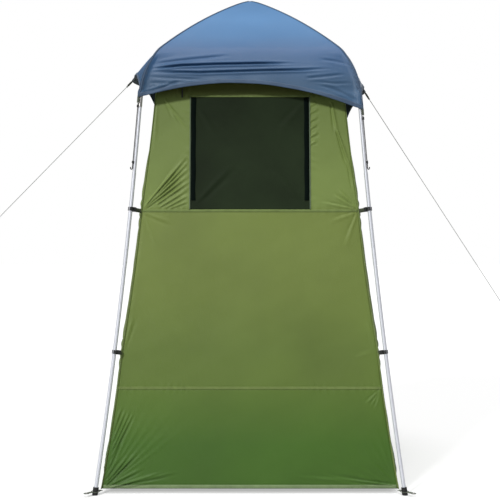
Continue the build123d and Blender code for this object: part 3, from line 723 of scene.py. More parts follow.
grid_s = np.linspace(-1, 1, FLY_COLUMNS)
DENSE_FROM = 0.62                                   # the lower rows, with the creases, are closer
grid_t = np.concatenate([
    np.linspace(0, DENSE_FROM, FLY_ROWS // 3), np.linspace(DENSE_FROM, 1, FLY_ROWS * 2 // 3)[1:],
])
fly = merged(joined("fly_sheet", [fly_piece(gore, grid_s, grid_t) for gore in GORES], fly_cloth))
# the fly's inner face gets the painted shade of its underside
fly.data.materials.append(fly_underside_shade)
thicken(fly, 0.0010).modifiers["thickness"].material_offset = 1
settle(fly, "fly_fabric", "fly")

# felled seams over the ridges, and a hem along each lower edge
SEAM_WIDTH, HEM_WIDTH = 0.0065, 0.014
seam_t = np.linspace(0.011, 1, FLY_ROWS)
half_at = np.interp(seam_t * RIDGE_RUN[-1], RIDGE_RUN, RIDGE_R) / math.sqrt(2)
ridge_seams = []
for gore in GORES:
    for side in (-1, 1):
        strip = []
        for k in range(4):
            s_at = side * (1 - SEAM_WIDTH * (3 - k) / 3 / half_at)
            strip.append(fly_point(gore, s_at, seam_t, 0.0006 + 0.0006 * (k > 0)))
        points = np.stack(strip, 1)
        down = np.concatenate([[0], np.cumsum(np.linalg.norm(np.diff(points[:, 0], axis=0), axis=1))])
        across = np.tile([0.0, 0.0021, 0.0043, 0.0065], (len(down), 1))
        uv = np.stack([np.repeat(down[:, None], 4, 1), across], -1)
        flip = (gore in ("front", "right")) == (side > 0)
        ridge_seams.append((
            points.reshape(-1, 3), grid_faces(len(seam_t), 4, flip=flip), uv.reshape(-1, 2),
        ))
seams = merged(joined("fly_ridge_seams", ridge_seams, blue_tape))
thicken(seams, 0.0011, 1.0)
LOBE_LENGTH, HEM_END = 0.66, 1.0 + 0.0015           # the hem wraps just past the lower edge
hem_t = np.linspace(HEM_END - HEM_WIDTH / LOBE_LENGTH, HEM_END, 5)
hems = []
for gore in GORES:
    points, faces, uv = fly_piece(gore, grid_s, hem_t, 0.0006)
    hems.append((points, faces, uv - [0, HEM_WIDTH / 2]))
fly_hem = merged(joined("fly_hem", hems, blue_tape))
thicken(fly_hem, 0.0012, 1.0)
for piece in (seams, fly_hem):
    settle(piece, "fly_fabric")


def corner_arc(corner, lean, out):
    """Point beside the shoulder bend of a roof pole, out from its axis."""
    sx, sy = CORNERS[corner]
    r = SHOULDER_CENTRE[0] + (SHOULDER_RADIUS + out) * math.cos(lean)
    z = SHOULDER_CENTRE[1] + (SHOULDER_RADIUS + out) * math.sin(lean)
    return np.array([sx * r / math.sqrt(2), sy * r / math.sqrt(2), z])


SLEEVE_RADIUS, BINDING_RADIUS, SLEEVE_SIDES = 0.0066, 0.0082, 16
WEB_MIDDLE, WEB_OUTSIDE = 0.0107, 0.0147            # the sleeve's flat web, out from the pole's axis
sleeve_pieces, ring_pieces = [], []
for index, corner in enumerate(CORNERS):
    leans = np.linspace(TOP_LEAN + 0.010, math.radians(42), 60)
    path = np.array([corner_arc(corner, lean, 0.0) for lean in leans])
    verts, faces, uv = tube_arrays(path, SLEEVE_RADIUS, SLEEVE_SIDES)
    rings = np.repeat(np.arange(len(path)), SLEEVE_SIDES)
    around = np.tile(np.arange(SLEEVE_SIDES), len(path)) / SLEEVE_SIDES * math.tau
    centres = np.repeat(path, SLEEVE_SIDES, axis=0)
    wrinkle = 1 + 0.07 * np.sin(rings * 0.9 + 2 * around + index) + 0.05 * np.sin(rings * 0.37 + 3 * around)
    verts = centres + (verts - centres) * wrinkle[:, None]
    sleeve_pieces.append((verts, faces, uv * [0.3, 0.04]))
    web = np.array([corner_arc(corner, lean, WEB_MIDDLE) for lean in leans])
    outward = np.array([corner_arc(corner, lean, WEB_OUTSIDE) for lean in leans]) - web
    sleeve_pieces.append(ribbon_arrays(web, outward, 0.0012))
    ring_pieces.append(tube_arrays(path[:4], BINDING_RADIUS, 20))
sleeves = joined("corner_sleeve_cloth", sleeve_pieces, blue_tape)
settle(sleeves, "fly_fabric", "corner_sleeves")
settle(joined("sleeve_bindings", ring_pieces, black_tape), "webbing")


def loop_band(start, run, across, length, gap, thickness):
    """A webbing loop: down one side, round the end and back, as (points, faces, uv)."""
    start, run, across = (np.array(v, float) for v in (start, run, across))
    run = run / np.linalg.norm(run)
    normal = np.cross(run, across)
    normal = normal / np.linalg.norm(normal) * gap / 2
    straight = run * (length - gap / 2)
    down = [(straight * f, normal * min(1, 0.4 + f * 2)) for f in np.linspace(0, 1, 10)]
    path = [start + along + aside for along, aside in down]
    for angle in np.linspace(0, math.pi, 9)[1:-1]:
        path.append(start + straight + normal * math.cos(angle) + run * math.sin(angle) * gap / 2)
    path += [start + along - aside for along, aside in down[::-1]]
    return ribbon_arrays(path, np.tile(across, (len(path), 1)), thickness)


tab_pieces = []
for corner, (sx, sy) in CORNERS.items():
    top = beside_leg(corner, FLY_TIPS[sx] + 0.012, CORD_OUT)
    low = beside_leg(corner, FLY_TIPS[sx] - TAB_TOP - TAB_LENGTH, CORD_OUT)
    aside = beside_leg(corner, 1.6, CORD_OUT, 0.006) - beside_leg(corner, 1.6, CORD_OUT)
    tab_pieces.append(loop_band(top, low - top, aside, (low - top).length, 0.0034, 0.0011))
tabs = joined("corner_tab_webbing", tab_pieces, grey_webbing)
settle(tabs, "webbing", "corner_tabs")

guy_pieces = []
for side in SIDES:
    run = along_guy(side, 1.0) - along_guy(side, 0.0)
    guy_pieces.append(loop_band(along_guy(side, -0.004), run, (0, 0.010, 0), 0.031, 0.0042, 0.0012))
settle(joined("guy_tab_webbing", guy_pieces, dark_webbing), "webbing", "guy_tabs")

# ---------------------------------------------------------------- cabin walls
def half_at_height(z):
    return np.interp(z, LEVELS, HALVES)


def corner_half(z):
    """Half width at the cabin's corners, which are drawn in a little between the clips."""
    spans = (FOOT_Z, CLIP_LOW, CLIP_HIGH, EAVE_Z)
    drawn = np.zeros_like(z)
    for low, high, depth in zip(spans, spans[1:], (0.0045, 0.0065, 0.0055)):
        share = np.clip((z - low) / (high - low), 0, 1)
        drawn = np.maximum(drawn, depth * np.sin(math.pi * share) ** 0.8)
    return half_at_height(z) - drawn


def rear_y(z):
    return HALVES[0] - (z - FOOT_Z) * REAR_SLOPE


def fan(a, z, origin, first, last, folds, depth, reach):
    """Crisp folds that spread from a point between two directions, in degrees from +a."""
    da, dz = a - origin[0], z - origin[1]
    distance = np.hypot(da, dz)
    angle = np.degrees(np.arctan2(dz, da))
    share = (angle - first) / (last - first)
    inside = smoothstep(share / 0.12) * smoothstep((1 - share) / 0.12)
    wobble = share * folds * math.tau + 0.8 * np.sin(distance * 9 + origin[1] * 7)
    fold = 1 - 2 * np.abs(np.sin(wobble / 2)) ** 1.6
    strength = smoothstep((distance - 0.02) / 0.10) * np.exp(-((distance / reach) ** 2))
    return depth * fold * inside * strength


def line_fold(a, z, start, end, depth, width):
    """One raised crease from start to end, strongest at its start."""
    start, end = np.array(start), np.array(end)
    run = end - start
    length = math.hypot(*run)
    t = ((a - start[0]) * run[0] + (z - start[1]) * run[1]) / length ** 2
    off = ((a - start[0]) * run[1] - (z - start[1]) * run[0]) / length
    spread = width * (0.6 + 0.9 * np.clip(t, 0, 1))
    fade = smoothstep((t + 0.02) / 0.12) * smoothstep((1 - t) / 0.45)
    fold = np.exp(-((off / spread) ** 2)) - 0.75 * np.exp(-(((off - 1.7 * spread) / spread) ** 2))
    return depth * fold * fade


def seam_tuck(z, level, depth=0.0016, width=0.006):
    return -depth * np.exp(-(((z - level) / width) ** 2))


def hem_tuck(z):
    return seam_tuck(z, FOOT_Z + 0.016, 0.0010, 0.004)


CLIPS = ((CLIP_HIGH, 0.471), (CLIP_LOW, 0.545))     # height and half width of the cabin at each clip


def clip_folds(a, z, sign, folds, width):
    """Folds that run in from the clips at one edge of a wall; folds holds (slope, length, height) for each."""
    total = np.zeros_like(a)
    for height, half in CLIPS:
        for rise, length, depth in folds:
            run = length / math.hypot(1, rise)
            end = (sign * (half - run), height + rise * run)
            total += line_fold(a, z, (sign * half, height), end, depth, width)
    return total


# Folds of the front wall: where each starts and ends (X, z), its height and its width.
FRONT_FOLDS = (
    # from the left waist corner up to the window's edge
    ((-0.466, 1.212), (-0.264, 1.458), 0.0068, 0.0042),
    ((-0.440, 1.236), (-0.264, 1.424), 0.0055, 0.0038),
    ((-0.466, 1.208), (-0.262, 1.396), 0.0065, 0.0040),
    ((-0.462, 1.206), (-0.264, 1.360), 0.0057, 0.0040),
    ((-0.410, 1.226), (-0.264, 1.330), 0.0052, 0.0036),
    ((-0.400, 1.212), (-0.264, 1.298), 0.0052, 0.0036),
    ((-0.372, 1.210), (-0.264, 1.270), 0.0047, 0.0034),
    ((-0.352, 1.208), (-0.264, 1.242), 0.0042, 0.0032),
    # upper left: hanging from the eave
    ((-0.362, 1.672), (-0.270, 1.560), 0.0030, 0.0055),
    ((-0.378, 1.700), (-0.318, 1.590), 0.0024, 0.0055),
    ((-0.408, 1.800), (-0.424, 1.450), 0.0024, 0.0070),
    # upper right: a long ridge down to the clip, and short ones into it
    ((0.362, 1.680), (0.388, 1.530), 0.0044, 0.0055),
    ((0.384, 1.560), (0.446, 1.370), 0.0065, 0.0050),
    ((0.430, 1.430), (0.464, 1.270), 0.0047, 0.0045),
    ((0.466, 1.208), (0.356, 1.272), 0.0047, 0.0042),
    ((0.466, 1.208), (0.380, 1.300), 0.0042, 0.0040),
    ((0.462, 1.206), (0.300, 1.236), 0.0036, 0.0042),
    # below the waist, at both clips
    ((-0.470, 1.192), (-0.330, 1.140), 0.0024, 0.0060),
    ((-0.470, 1.190), (-0.400, 1.040), 0.0022, 0.0065),
    ((0.470, 1.192), (0.340, 1.146), 0.0022, 0.0060),
    ((0.470, 1.190), (0.410, 1.030), 0.0022, 0.0065),
    ((-0.542, 0.600), (-0.500, 0.760), 0.0022, 0.0070),
    ((0.542, 0.596), (0.440, 0.560), 0.0016, 0.0070),
    ((0.542, 0.600), (0.500, 0.740), 0.0018, 0.0070),
    # bottom left: a steep set beside the edge, a middle set and a shallow set
    ((-0.592, 0.140), (-0.488, 0.352), 0.0052, 0.0036),
    ((-0.588, 0.170), (-0.507, 0.352), 0.0048, 0.0034),
    ((-0.586, 0.205), (-0.526, 0.356), 0.0044, 0.0034),
    ((-0.582, 0.250), (-0.545, 0.366), 0.0040, 0.0034),
    ((-0.600, 0.100), (-0.545, 0.230), 0.0040, 0.0034),
    ((-0.616, 0.026), (-0.470, 0.176), 0.0056, 0.0036),
    ((-0.612, 0.040), (-0.510, 0.160), 0.0046, 0.0034),
    ((-0.612, 0.056), (-0.538, 0.172), 0.0040, 0.0034),
    ((-0.616, 0.022), (-0.440, 0.110), 0.0042, 0.0038),
    ((-0.616, 0.020), (-0.290, 0.092), 0.0050, 0.0042),
    ((-0.600, 0.020), (-0.345, 0.094), 0.0044, 0.0036),
    ((-0.600, 0.018), (-0.380, 0.052), 0.0036, 0.0036),
    # bottom right: shallow folds along the hem, and a small set under the seam's end
    ((0.622, 0.030), (0.290, 0.074), 0.0038, 0.0042),
    ((0.620, 0.034), (0.170, 0.070), 0.0026, 0.0050),
    ((0.618, 0.024), (0.330, 0.048), 0.0034, 0.0038),
    ((0.616, 0.044), (0.480, 0.150), 0.0026, 0.0048),
    ((0.560, 0.432), (0.490, 0.366), 0.0030, 0.0036),
    ((0.560, 0.428), (0.512, 0.352), 0.0026, 0.0036),
    ((0.560, 0.424), (0.530, 0.340), 0.0024, 0.0036),
    # puckers at the window's right edge
    ((0.266, 1.632), (0.306, 1.652), 0.0042, 0.0045),
    ((0.266, 1.596), (0.304, 1.618), 0.0045, 0.0045),
    ((0.266, 1.562), (0.300, 1.584), 0.0045, 0.0045),
    ((0.266, 1.526), (0.304, 1.548), 0.0048, 0.0045),
    ((0.266, 1.492), (0.296, 1.508), 0.0036, 0.0042),
    ((0.266, 1.664), (0.298, 1.684), 0.0036, 0.0045),
)


def front_relief(x, z):
    """How far the front wall's cloth stands out of its plane."""
    out = 0.0035 * smooth_noise(x, z, 0.75, 21)
    out += 0.0011 * smooth_noise(x, z, 0.17, 22)
    for start, end, depth, width in FRONT_FOLDS:
        out += line_fold(x, z, start, end, depth, width)
    out += fan(x, z, (-0.474, 1.200), 20, 58, 7, 0.0012, 0.24)
    out += fan(x, z, (-0.625, 0.014), 30, 78, 8, 0.0014, 0.26)
    out += fan(x, z, (0.625, 0.014), 100, 174, 7, 0.0010, 0.26)
    # puckers beside the window and gathers under the header
    aside = np.abs(x) - WINDOW_HALF
    beside = smoothstep(aside / 0.006) * np.exp(-(aside / 0.034) ** 2)
    tall = smoothstep((z - 1.215) / 0.05) * smoothstep((1.703 - z) / 0.03)
    out += 0.0008 * np.sin(z * 148 + 2.0 * np.sin(z * 31) + x * 60) * beside * tall
    header = smoothstep((z - WINDOW_TOP) / 0.008) * np.exp(-((z - WINDOW_TOP) / 0.035) ** 2)
    out += 0.0022 * np.sin(x * 205 + 3 * np.sin(x * 17)) * header * smoothstep((0.40 - np.abs(x)) / 0.1)
    for level in (KNEE_Z, WAIST_Z):
        out += seam_tuck(z, level, 0.0008)
        near = np.exp(-(((z - level) / 0.020) ** 2))
        out += 0.0007 * np.sin(x * 190 + 2.5 * np.sin(x * 23 + level)) * near
    out += hem_tuck(z)
    # the cloth is pulled flat at its corners and its top edge
    pinned = smoothstep((half_at_height(z) - np.abs(x)) / 0.020)
    pinned *= smoothstep((EAVE_Z - z) / 0.03)
    return out * pinned


def side_relief(y, z, seed):
    """The same for a side wall, where y runs along it."""
    out = 0.0040 * smooth_noise(y, z, 0.80, seed)
    out += 0.0011 * smooth_noise(y, z, 0.18, seed + 1)
    folds = ((0.55, 0.26, 0.0030), (1.5, 0.24, 0.0026), (-0.5, 0.25, 0.0026), (-1.4, 0.22, 0.0022))
    for sign in SIDES:
        out += clip_folds(y, z, sign, folds, 0.010)
        out += fan(y * sign, z, (0.625, 0.018), 96, 174, 7, 0.0020, 0.34)
        out += fan(y * sign, z, (0.410, 1.850), 190, 262, 5, 0.0016, 0.26)
    for level in (KNEE_Z, WAIST_Z):
        out += seam_tuck(z, level)
    out += hem_tuck(z)
    # it billows a little behind each corner
    behind = half_at_height(z) - np.abs(y)
    tall = smoothstep((1.62 - z) / 0.25) * smoothstep((z - FOOT_Z) / 0.08)
    out += 0.016 * np.exp(-(((behind - 0.050) / 0.036) ** 2)) * tall
    pinned = smoothstep(behind / 0.020)
    pinned *= smoothstep((EAVE_Z - z) / 0.03) * smoothstep((rear_y(z) - y) / 0.020)
    return out * pinned


def rear_relief(x, z):
    """The same for the rear wall: flatter beside the door, with folds from the door's corners."""
    out = 0.0028 * smooth_noise(x, z, 0.60, 41)
    out += 0.0009 * smooth_noise(x, z, 0.16, 42)
    for sign in SIDES:
        out += clip_folds(x, z, sign, ((0.7, 0.17, 0.0036), (-0.7, 0.17, 0.0032)), 0.009)
        out += line_fold(x, z, (sign * 0.284, 1.566), (sign * 0.340, 1.780), 0.0040, 0.008)
        out += fan(x * sign, z, (0.625, 0.018), 96, 160, 5, 0.0016, 0.30)
    out += seam_tuck(z, OPENING_TOP + 0.004)
    out += hem_tuck(z)
    pinned = smoothstep((half_at_height(z) - np.abs(x)) / 0.020) * smoothstep((EAVE_Z - z) / 0.03)
    door = smoothstep(np.maximum(np.abs(x) - OPENING_HALF, z - OPENING_TOP) / 0.020)
    return out * pinned * door


CELL = 0.0065


def heights(*levels, cells=None):
    """Row heights that include each given level; cells holds each span's row height."""
    rows = [levels[0]]
    for low, high, cell in zip(levels, levels[1:], cells or (CELL,) * len(levels)):
        rows.extend(np.linspace(low, high, max(2, round((high - low) / cell)) + 1)[1:])
    return np.array(rows)


SEAM_BLEND = 0.008                                  # the wall's slope changes over this height at a seam
SLOPE_LEVELS = (
    FOOT_Z, KNEE_Z - SEAM_BLEND, KNEE_Z + SEAM_BLEND, WAIST_Z - SEAM_BLEND, WAIST_Z + SEAM_BLEND, EAVE_Z,
)
FRONT_SLOPES = np.repeat((0.1394, 0.1222, 0.1039), 2)


def front_surface(x, z, out=0.0):
    """Points of the front wall, with its relief, and out from it."""
    half = half_at_height(z)
    slope = -np.interp(z, SLOPE_LEVELS, FRONT_SLOPES)
    level = front_relief(x, z) + out
    scale = 1 / np.sqrt(1 + slope ** 2)
    return np.stack([x, -half - level * scale, z - slope * level * scale], -1)


def on_rear_plane(x, z, level):
    """Points that stand out from the rear wall's plane by level."""
    scale = 1 / math.hypot(1, REAR_SLOPE)
    return np.stack([x, rear_y(z) + level * scale, z + REAR_SLOPE * level * scale], -1)


def rear_surface(x, z, out=0.0):
    return on_rear_plane(x, z, rear_relief(x, z) + out)


def used_only(points, faces, uv):
    """Drops the points that no face uses."""
    used = np.unique(np.concatenate([np.array(face) for face in faces]))
    new = np.zeros(len(points), int)
    new[used] = np.arange(len(used))
    return points[used], [tuple(new[list(face)]) for face in faces], uv[used]


def split_columns(z, opening, outer_count, inner_count):
    """Column positions that follow the wall's corners outside and the opening's sides inside."""
    edge = corner_half(z)[:, None]
    share = np.linspace(0, 1, outer_count + 1)[None, :]
    left = -edge + (edge - opening) * share
    inside = np.repeat(np.linspace(-opening, opening, inner_count + 1)[None, 1:-1], len(z), 0)
    return np.concatenate([left, inside, -left[:, ::-1]], 1)


def wall(name, columns, z, surface, nodes, keep=None, flip=False):
    """A cabin wall. columns holds each row's positions across it; keep says which places are cloth."""
    rows = np.repeat(z[:, None], columns.shape[1], 1)
    faces = grid_faces(*columns.shape, keep=keep and (lambda r, c: keep(
        (columns[r, c] + columns[r, c + 1]) / 2, (z[r] + z[r + 1]) / 2,
    )), flip=flip)
    points, faces, uv = used_only(
        surface(columns, rows).reshape(-1, 3), faces, np.stack([columns, rows], -1).reshape(-1, 2),
    )
    piece = thicken(mesh_object(name, points, faces, cabin_cloth, uv), CABIN_THICKNESS)
    settle(piece, "cabin_fabric", *nodes)
    return piece


front_z = heights(
    FOOT_Z, 0.26, KNEE_Z, CLIP_LOW, 1.12, WAIST_Z, 1.70, WINDOW_TOP, EAVE_Z,
    cells=(0.0036, 0.005, 0.009, 0.012, 0.006, 0.0040, 0.0025, 0.006),
)
front_wall = wall(
    "front_wall_sheet", split_columns(front_z, WINDOW_HALF, 76, 40), front_z, front_surface,
    [f"front_{part}_panel" for part in ("left", "right", "header", "middle", "skirt")],
    keep=lambda x, z: not (abs(x) < WINDOW_HALF and WAIST_Z < z < WINDOW_TOP),
)
rear_z = heights(FOOT_Z, KNEE_Z, WAIST_Z, OPENING_TOP, EAVE_Z)
rear_wall = wall(
    "rear_wall_sheet", split_columns(rear_z, OPENING_HALF, 48, 48), rear_z, rear_surface,
    [f"rear_{part}_panel" for part in ("left", "right", "header")],
    keep=lambda x, z: not (abs(x) < OPENING_HALF and z < OPENING_TOP), flip=True,
)


def side_surface(side):
    """The surface of a side wall; its front edge stands on the front wall's corner."""
    def points(y, z, out=0.0):
        level = side_relief(y, z, 60 + 10 * side) + out
        drawn = half_at_height(z) - corner_half(z)
        near = sum(np.exp(-((reach / 0.12) ** 2)) for reach in (half_at_height(z) + y, rear_y(z) - y))
        return np.stack([side * (half_at_height(z) + level - drawn * near), y, z + 0.12 * level], -1)
    return points


side_z = heights(FOOT_Z, KNEE_Z, WAIST_Z, EAVE_Z)
for side, word in SIDES.items():
    share = np.linspace(0, 1, round(1.0 / CELL) + 1)[None, :]
    front_edge, rear_edge = -half_at_height(side_z)[:, None], rear_y(side_z)[:, None]
    wall(
        f"{word}_wall_sheet", front_edge + (rear_edge - front_edge) * share, side_z, side_surface(side),
        [f"{word}_wall"], flip=side < 0,
    )

# ---------------------------------------------------------------- seams, hem and corner seams of the cabin
def surface_band(name, path_a, path_b, surface, out, width, material, thickness=0.0011, body="frame"):
    """A flat tape on a wall, centred on the line of (a, b) points. Without a body the caller blends it."""
    a, b = np.array(path_a, float), np.array(path_b, float)
    da, db = np.gradient(a), np.gradient(b)
    length = np.hypot(da, db)
    na, nb = -db / length, da / length
    offsets = np.linspace(-width / 2, width / 2, 5)
    rows_a = a[:, None] + na[:, None] * offsets
    rows_b = b[:, None] + nb[:, None] * offsets
    points = surface(rows_a, rows_b, out)
    along = np.concatenate([[0], np.cumsum(np.hypot(np.diff(a), np.diff(b)))])
    uv = np.stack([np.repeat(along[:, None], 5, 1), np.tile(offsets, (len(a), 1))], -1)
    piece = mesh_object(name, points.reshape(-1, 3), grid_faces(len(a), 5), material, uv.reshape(-1, 2))
    thicken(piece, thickness, 0.0)
    if body:
        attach(piece, body)
    return piece


def level_band(name, surface, reach, z, width, material, out=0.0007, **values):
    a = np.linspace(-reach, reach, max(8, round(2 * reach / 0.008)))
    return surface_band(name, a, np.full_like(a, z), surface, out, width, material, **values)


front_bands = [
    level_band("front_waist_seam", front_surface, 0.4705, WAIST_Z - 0.006, 0.011, green_tape),
    level_band("front_knee_seam", front_surface, 0.5640, KNEE_Z, 0.011, green_tape),
    level_band("front_hem", front_surface, 0.6190, FOOT_Z + 0.008, 0.015, hem_tape, out=0.0010),
    level_band(
        "window_head_seam", front_surface, WINDOW_HALF + 0.006, WINDOW_TOP + 0.004, 0.007, green_tape,
        out=0.0006,
    ),
]
rear_bands = [level_band("rear_head_seam", rear_surface, 0.437, 1.5905, 0.010, green_tape)]
for side, word in SIDES.items():
    a = np.linspace(DOOR_HALF + 0.004, 0.619, 40) * side
    rear_bands.append(surface_band(
        f"rear_hem_{word}", a, np.full_like(a, FOOT_Z + 0.008), rear_surface, 0.0010, 0.015, hem_tape,
    ))


def behind_door(x, z, out=0.0):
    """The strip behind the door's free edges: against the wall's back, and clear of the door."""
    beyond = np.maximum(x - OPENING_HALF, z - OPENING_TOP)
    return rear_surface(x, z, out - 0.0014 - 0.0018 * smoothstep((0.004 - beyond) / 0.006))


b = np.linspace(DOOR_BOTTOM, 1.5690, 160)
rear_bands.append(surface_band(
    "door_draught_strip_side", np.full_like(b, OPENING_HALF - 0.001), b, behind_door, 0.0, 0.020, green_tape,
    thickness=0.0008,
))
a = np.linspace(-DOOR_HALF, 0.2705, 80)
rear_bands.append(surface_band(
    "door_draught_strip_top", a, np.full_like(a, OPENING_TOP - 0.001), behind_door, 0.0, 0.018, green_tape,
    thickness=0.0008,
))
side_bands = {-1: [], 1: []}
for side, word in SIDES.items():
    for part, level, width, tape in (
        ("waist_seam", WAIST_Z - 0.006, 0.011, green_tape), ("knee_seam", KNEE_Z, 0.011, green_tape),
        ("hem", FOOT_Z + 0.008, 0.015, hem_tape),
    ):
        a = np.linspace(-half_at_height(level) + 0.004, rear_y(level) - 0.004, 140)
        side_bands[side].append(surface_band(
            f"{word}_{part}", a, np.full_like(a, level), side_surface(side), 0.0008, width, tape,
        ))


def corner_line(sx, sy):
    """The cabin's upright corner, from the hem to the eave."""
    z = np.linspace(FOOT_Z, EAVE_Z, 180)
    half = corner_half(z)
    y = -half if sy < 0 else rear_y(z) - (half_at_height(z) - half)
    return np.stack([sx * half, y, z], -1)


corner_pieces = []
for sx, sy in CORNERS.values():
    line = corner_line(sx, sy)
    outward = np.array([sx, sy, 0]) / math.sqrt(2)
    corner_pieces.append(ribbon_arrays(
        line + outward * 0.0035, np.tile(outward * 0.0045, (len(line), 1)), 0.0016,
    ))
corner_seams = joined("cabin_corner_seams", corner_pieces, green_tape)
settle(corner_seams, "cabin_fabric")

# ---------------------------------------------------------------- window: net, flap, piping, tapes
def inner_sheet(name, half, low, high, depth, sag, material, relief):
    x = np.linspace(-half, half, round(2 * half / CELL) + 1)
    z = heights(low, high)
    grid_x, grid_z = np.meshgrid(x, z)
    flat = np.stack([grid_x, -half_at_height(grid_z), grid_z], -1)
    shape = np.sin(math.pi * (grid_x / half + 1) / 2) * np.sin(math.pi * (grid_z - low) / (high - low))
    flat[..., 1] += depth + sag * np.clip(shape, 0, 1) - relief(grid_x, grid_z) * np.clip(shape * 6, 0, 1)
    return mesh_object(
        name, flat.reshape(-1, 3), grid_faces(*grid_x.shape), material,
        np.stack([grid_x, grid_z], -1).reshape(-1, 2),
    )


def net_relief(x, z):
    out = 0.0012 * smooth_noise(x, z, 0.34, 71)
    for start, end, depth in (
        ((-0.258, 1.210), (-0.060, 1.420), 0.0030), ((0.258, 1.210), (0.080, 1.390), 0.0026),
        ((-0.258, 1.700), (-0.140, 1.520), 0.0024), ((0.258, 1.700), (0.120, 1.540), 0.0024),
    ):
        out += line_fold(x, z, start, end, depth, 0.010)
    return out


# the opaque net carries painted shade of the cabin seen through it
net = inner_sheet(
    "window_net", WINDOW_HALF + 0.003, WAIST_Z - 0.002, WINDOW_TOP + 0.002, 0.0012, 0.0, net_and_painted_shade, net_relief,
)
thicken(net, 0.0004)
settle(net, "window_mesh", "window_mesh")

flap = inner_sheet(
    "window_flap", 0.256, 1.215, 1.698, 0.0056, 0.0012, cabin_cloth,
    lambda x, z: 0.0010 * smooth_noise(x, z, 0.30, 81),
)
thicken(flap, CABIN_THICKNESS)
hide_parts("privacy_flap")
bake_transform(flap)

piping_pieces, tape_pieces = [], []
for side in SIDES:
    z = np.linspace(WAIST_Z + 0.001, WINDOW_TOP, 110)
    x = np.full_like(z, side * (WINDOW_HALF + 0.0020))
    line = front_surface(x, z, 0.0014)
    verts, faces, uv = tube_arrays(line, 0.0024, 12)
    piping_pieces.append((verts, faces, uv * [0.5, 0.004] - [0, 0.002]))
    z = np.linspace(1.245, 1.703, 100)
    x = side * (0.2490 + 0.0008 * np.sin(z * 40))
    line = front_surface(x, z, 0.0013)
    edge = front_surface(x + 0.0096, z, 0.0013 + 0.0003 * np.sin(z * 90))
    tape_pieces.append(ribbon_arrays(line, edge - line, 0.0012))
    # the tape's folded lower end
    fold = np.linspace(0, 1, 8)[:, None]
    upward = (line[1] - line[0]) / np.linalg.norm(line[1] - line[0])
    end = line[0] + upward * fold * 0.020 + [0, -0.0011, 0]
    tape_pieces.append(ribbon_arrays(end, np.tile((edge - line)[0] * 0.97, (8, 1)), 0.0011))
settle(joined("window_piping_cord", piping_pieces, piping_tape), "piping", "window_piping")
settle(joined("window_side_tapes", tape_pieces, black_tape), "webbing", "window_tapes")

# ---------------------------------------------------------------- door, zip
DOOR_EDGE = DOOR_HALF + 0.0022


def door_surface(x, z, out=0.0):
    relief = 0.0024 * smooth_noise(x, z, 0.50, 91) + 0.0010 * smooth_noise(x, z, 0.17, 92)
    for start, end, depth in (
        ((-0.278, 1.555), (-0.100, 1.250), 0.0036), ((0.278, 1.555), (0.120, 1.330), 0.0034),
        ((-0.278, 0.030), (-0.080, 0.330), 0.0044), ((0.278, 0.030), (0.090, 0.290), 0.0042),
        ((0.278, 0.790), (0.120, 0.860), 0.0028), ((-0.278, 1.100), (-0.110, 1.040), 0.0028),
    ):
        relief = relief + line_fold(x, z, start, end, depth, 0.010)
    pinned = smoothstep((DOOR_EDGE - np.abs(x)) / 0.02) * smoothstep((DOOR_TOP - z) / 0.02)
    return on_rear_plane(x, z, relief * pinned + out)


x = np.linspace(-DOOR_EDGE, DOOR_HALF, round(2 * DOOR_HALF / CELL) + 1)
z = heights(DOOR_BOTTOM, DOOR_TOP)
grid_x, grid_z = np.meshgrid(x, z)
door = mesh_object(
    "door_sheet", door_surface(grid_x, grid_z).reshape(-1, 3), grid_faces(*grid_x.shape, flip=True), door_cloth,
    np.stack([grid_x, grid_z], -1).reshape(-1, 2),
)
thicken(door, CABIN_THICKNESS)
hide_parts("door_panel")
door_hem = level_band(
    "door_hem", door_surface, DOOR_HALF - 0.004, DOOR_BOTTOM + 0.009, 0.015, hem_tape, out=0.0008, body=None,
)
for piece in (door, door_hem):
    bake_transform(piece)

TAPE_IN, TAPE_OUT, TAPE_TOP = 0.284, 0.296, 1.564
ZIP_X, ZIP_Z = 0.290, TAPE_TOP + 0.006              # the teeth's upright run and their level run
zip_pieces = []
z = np.linspace(DOOR_BOTTOM, TAPE_TOP + 0.012, 200)
line = rear_surface(np.full_like(z, ZIP_X), z, 0.0009)
edge = rear_surface(np.full_like(z, TAPE_OUT - 0.0002), z, 0.0009)
zip_pieces.append(ribbon_arrays(line, edge - line, 0.0011))
x = np.linspace(-DOOR_HALF, TAPE_IN, 90)
line = rear_surface(x, np.full_like(x, ZIP_Z), 0.0009)
edge = rear_surface(x, np.full_like(x, TAPE_TOP + 0.0118), 0.0009)
zip_pieces.append(ribbon_arrays(line, edge - line, 0.0011))
# each tooth's place, whether it is on the upright run, and which side it leans to
TOOTH_PITCH = 0.0011
zip_corner = (ZIP_X, ZIP_Z)
coil = []
for start, end in (((ZIP_X, DOOR_BOTTOM), zip_corner), (zip_corner, (-DOOR_HALF, ZIP_Z))):
    steps = round(math.dist(start, end) / TOOTH_PITCH)
    for i in range(steps):
        f = (i + 0.5) / steps
        at = [a + (b - a) * f for a, b in zip(start, end)]
        coil.append((*at, start[0] == end[0], i % 2))
coil = np.array(coil)
centre = rear_surface(coil[:, 0], coil[:, 1], 0.0019)
long_way = np.where(coil[:, 2:3] > 0, [[1.0, 0, 0]], [[0, -REAR_SLOPE, 1.0]])
short_way = np.where(coil[:, 2:3] > 0, [[0, -REAR_SLOPE, 1.0]], [[1.0, 0, 0]])
normal = np.array([0, 1, REAR_SLOPE])
shift = long_way * (coil[:, 3:4] * 2 - 1) * 0.0007
tooth = []
for a, b, c in (
    (-1, -1, -1), (1, -1, -1), (1, 1, -1), (-1, 1, -1),
    (-0.8, -0.6, 1), (0.8, -0.6, 1), (0.8, 0.6, 1), (-0.8, 0.6, 1),
):
    tooth.append(centre + shift + long_way * a * 0.0017 + short_way * b * 0.00042 + normal * c * 0.0006)
tooth = np.stack(tooth, 1)
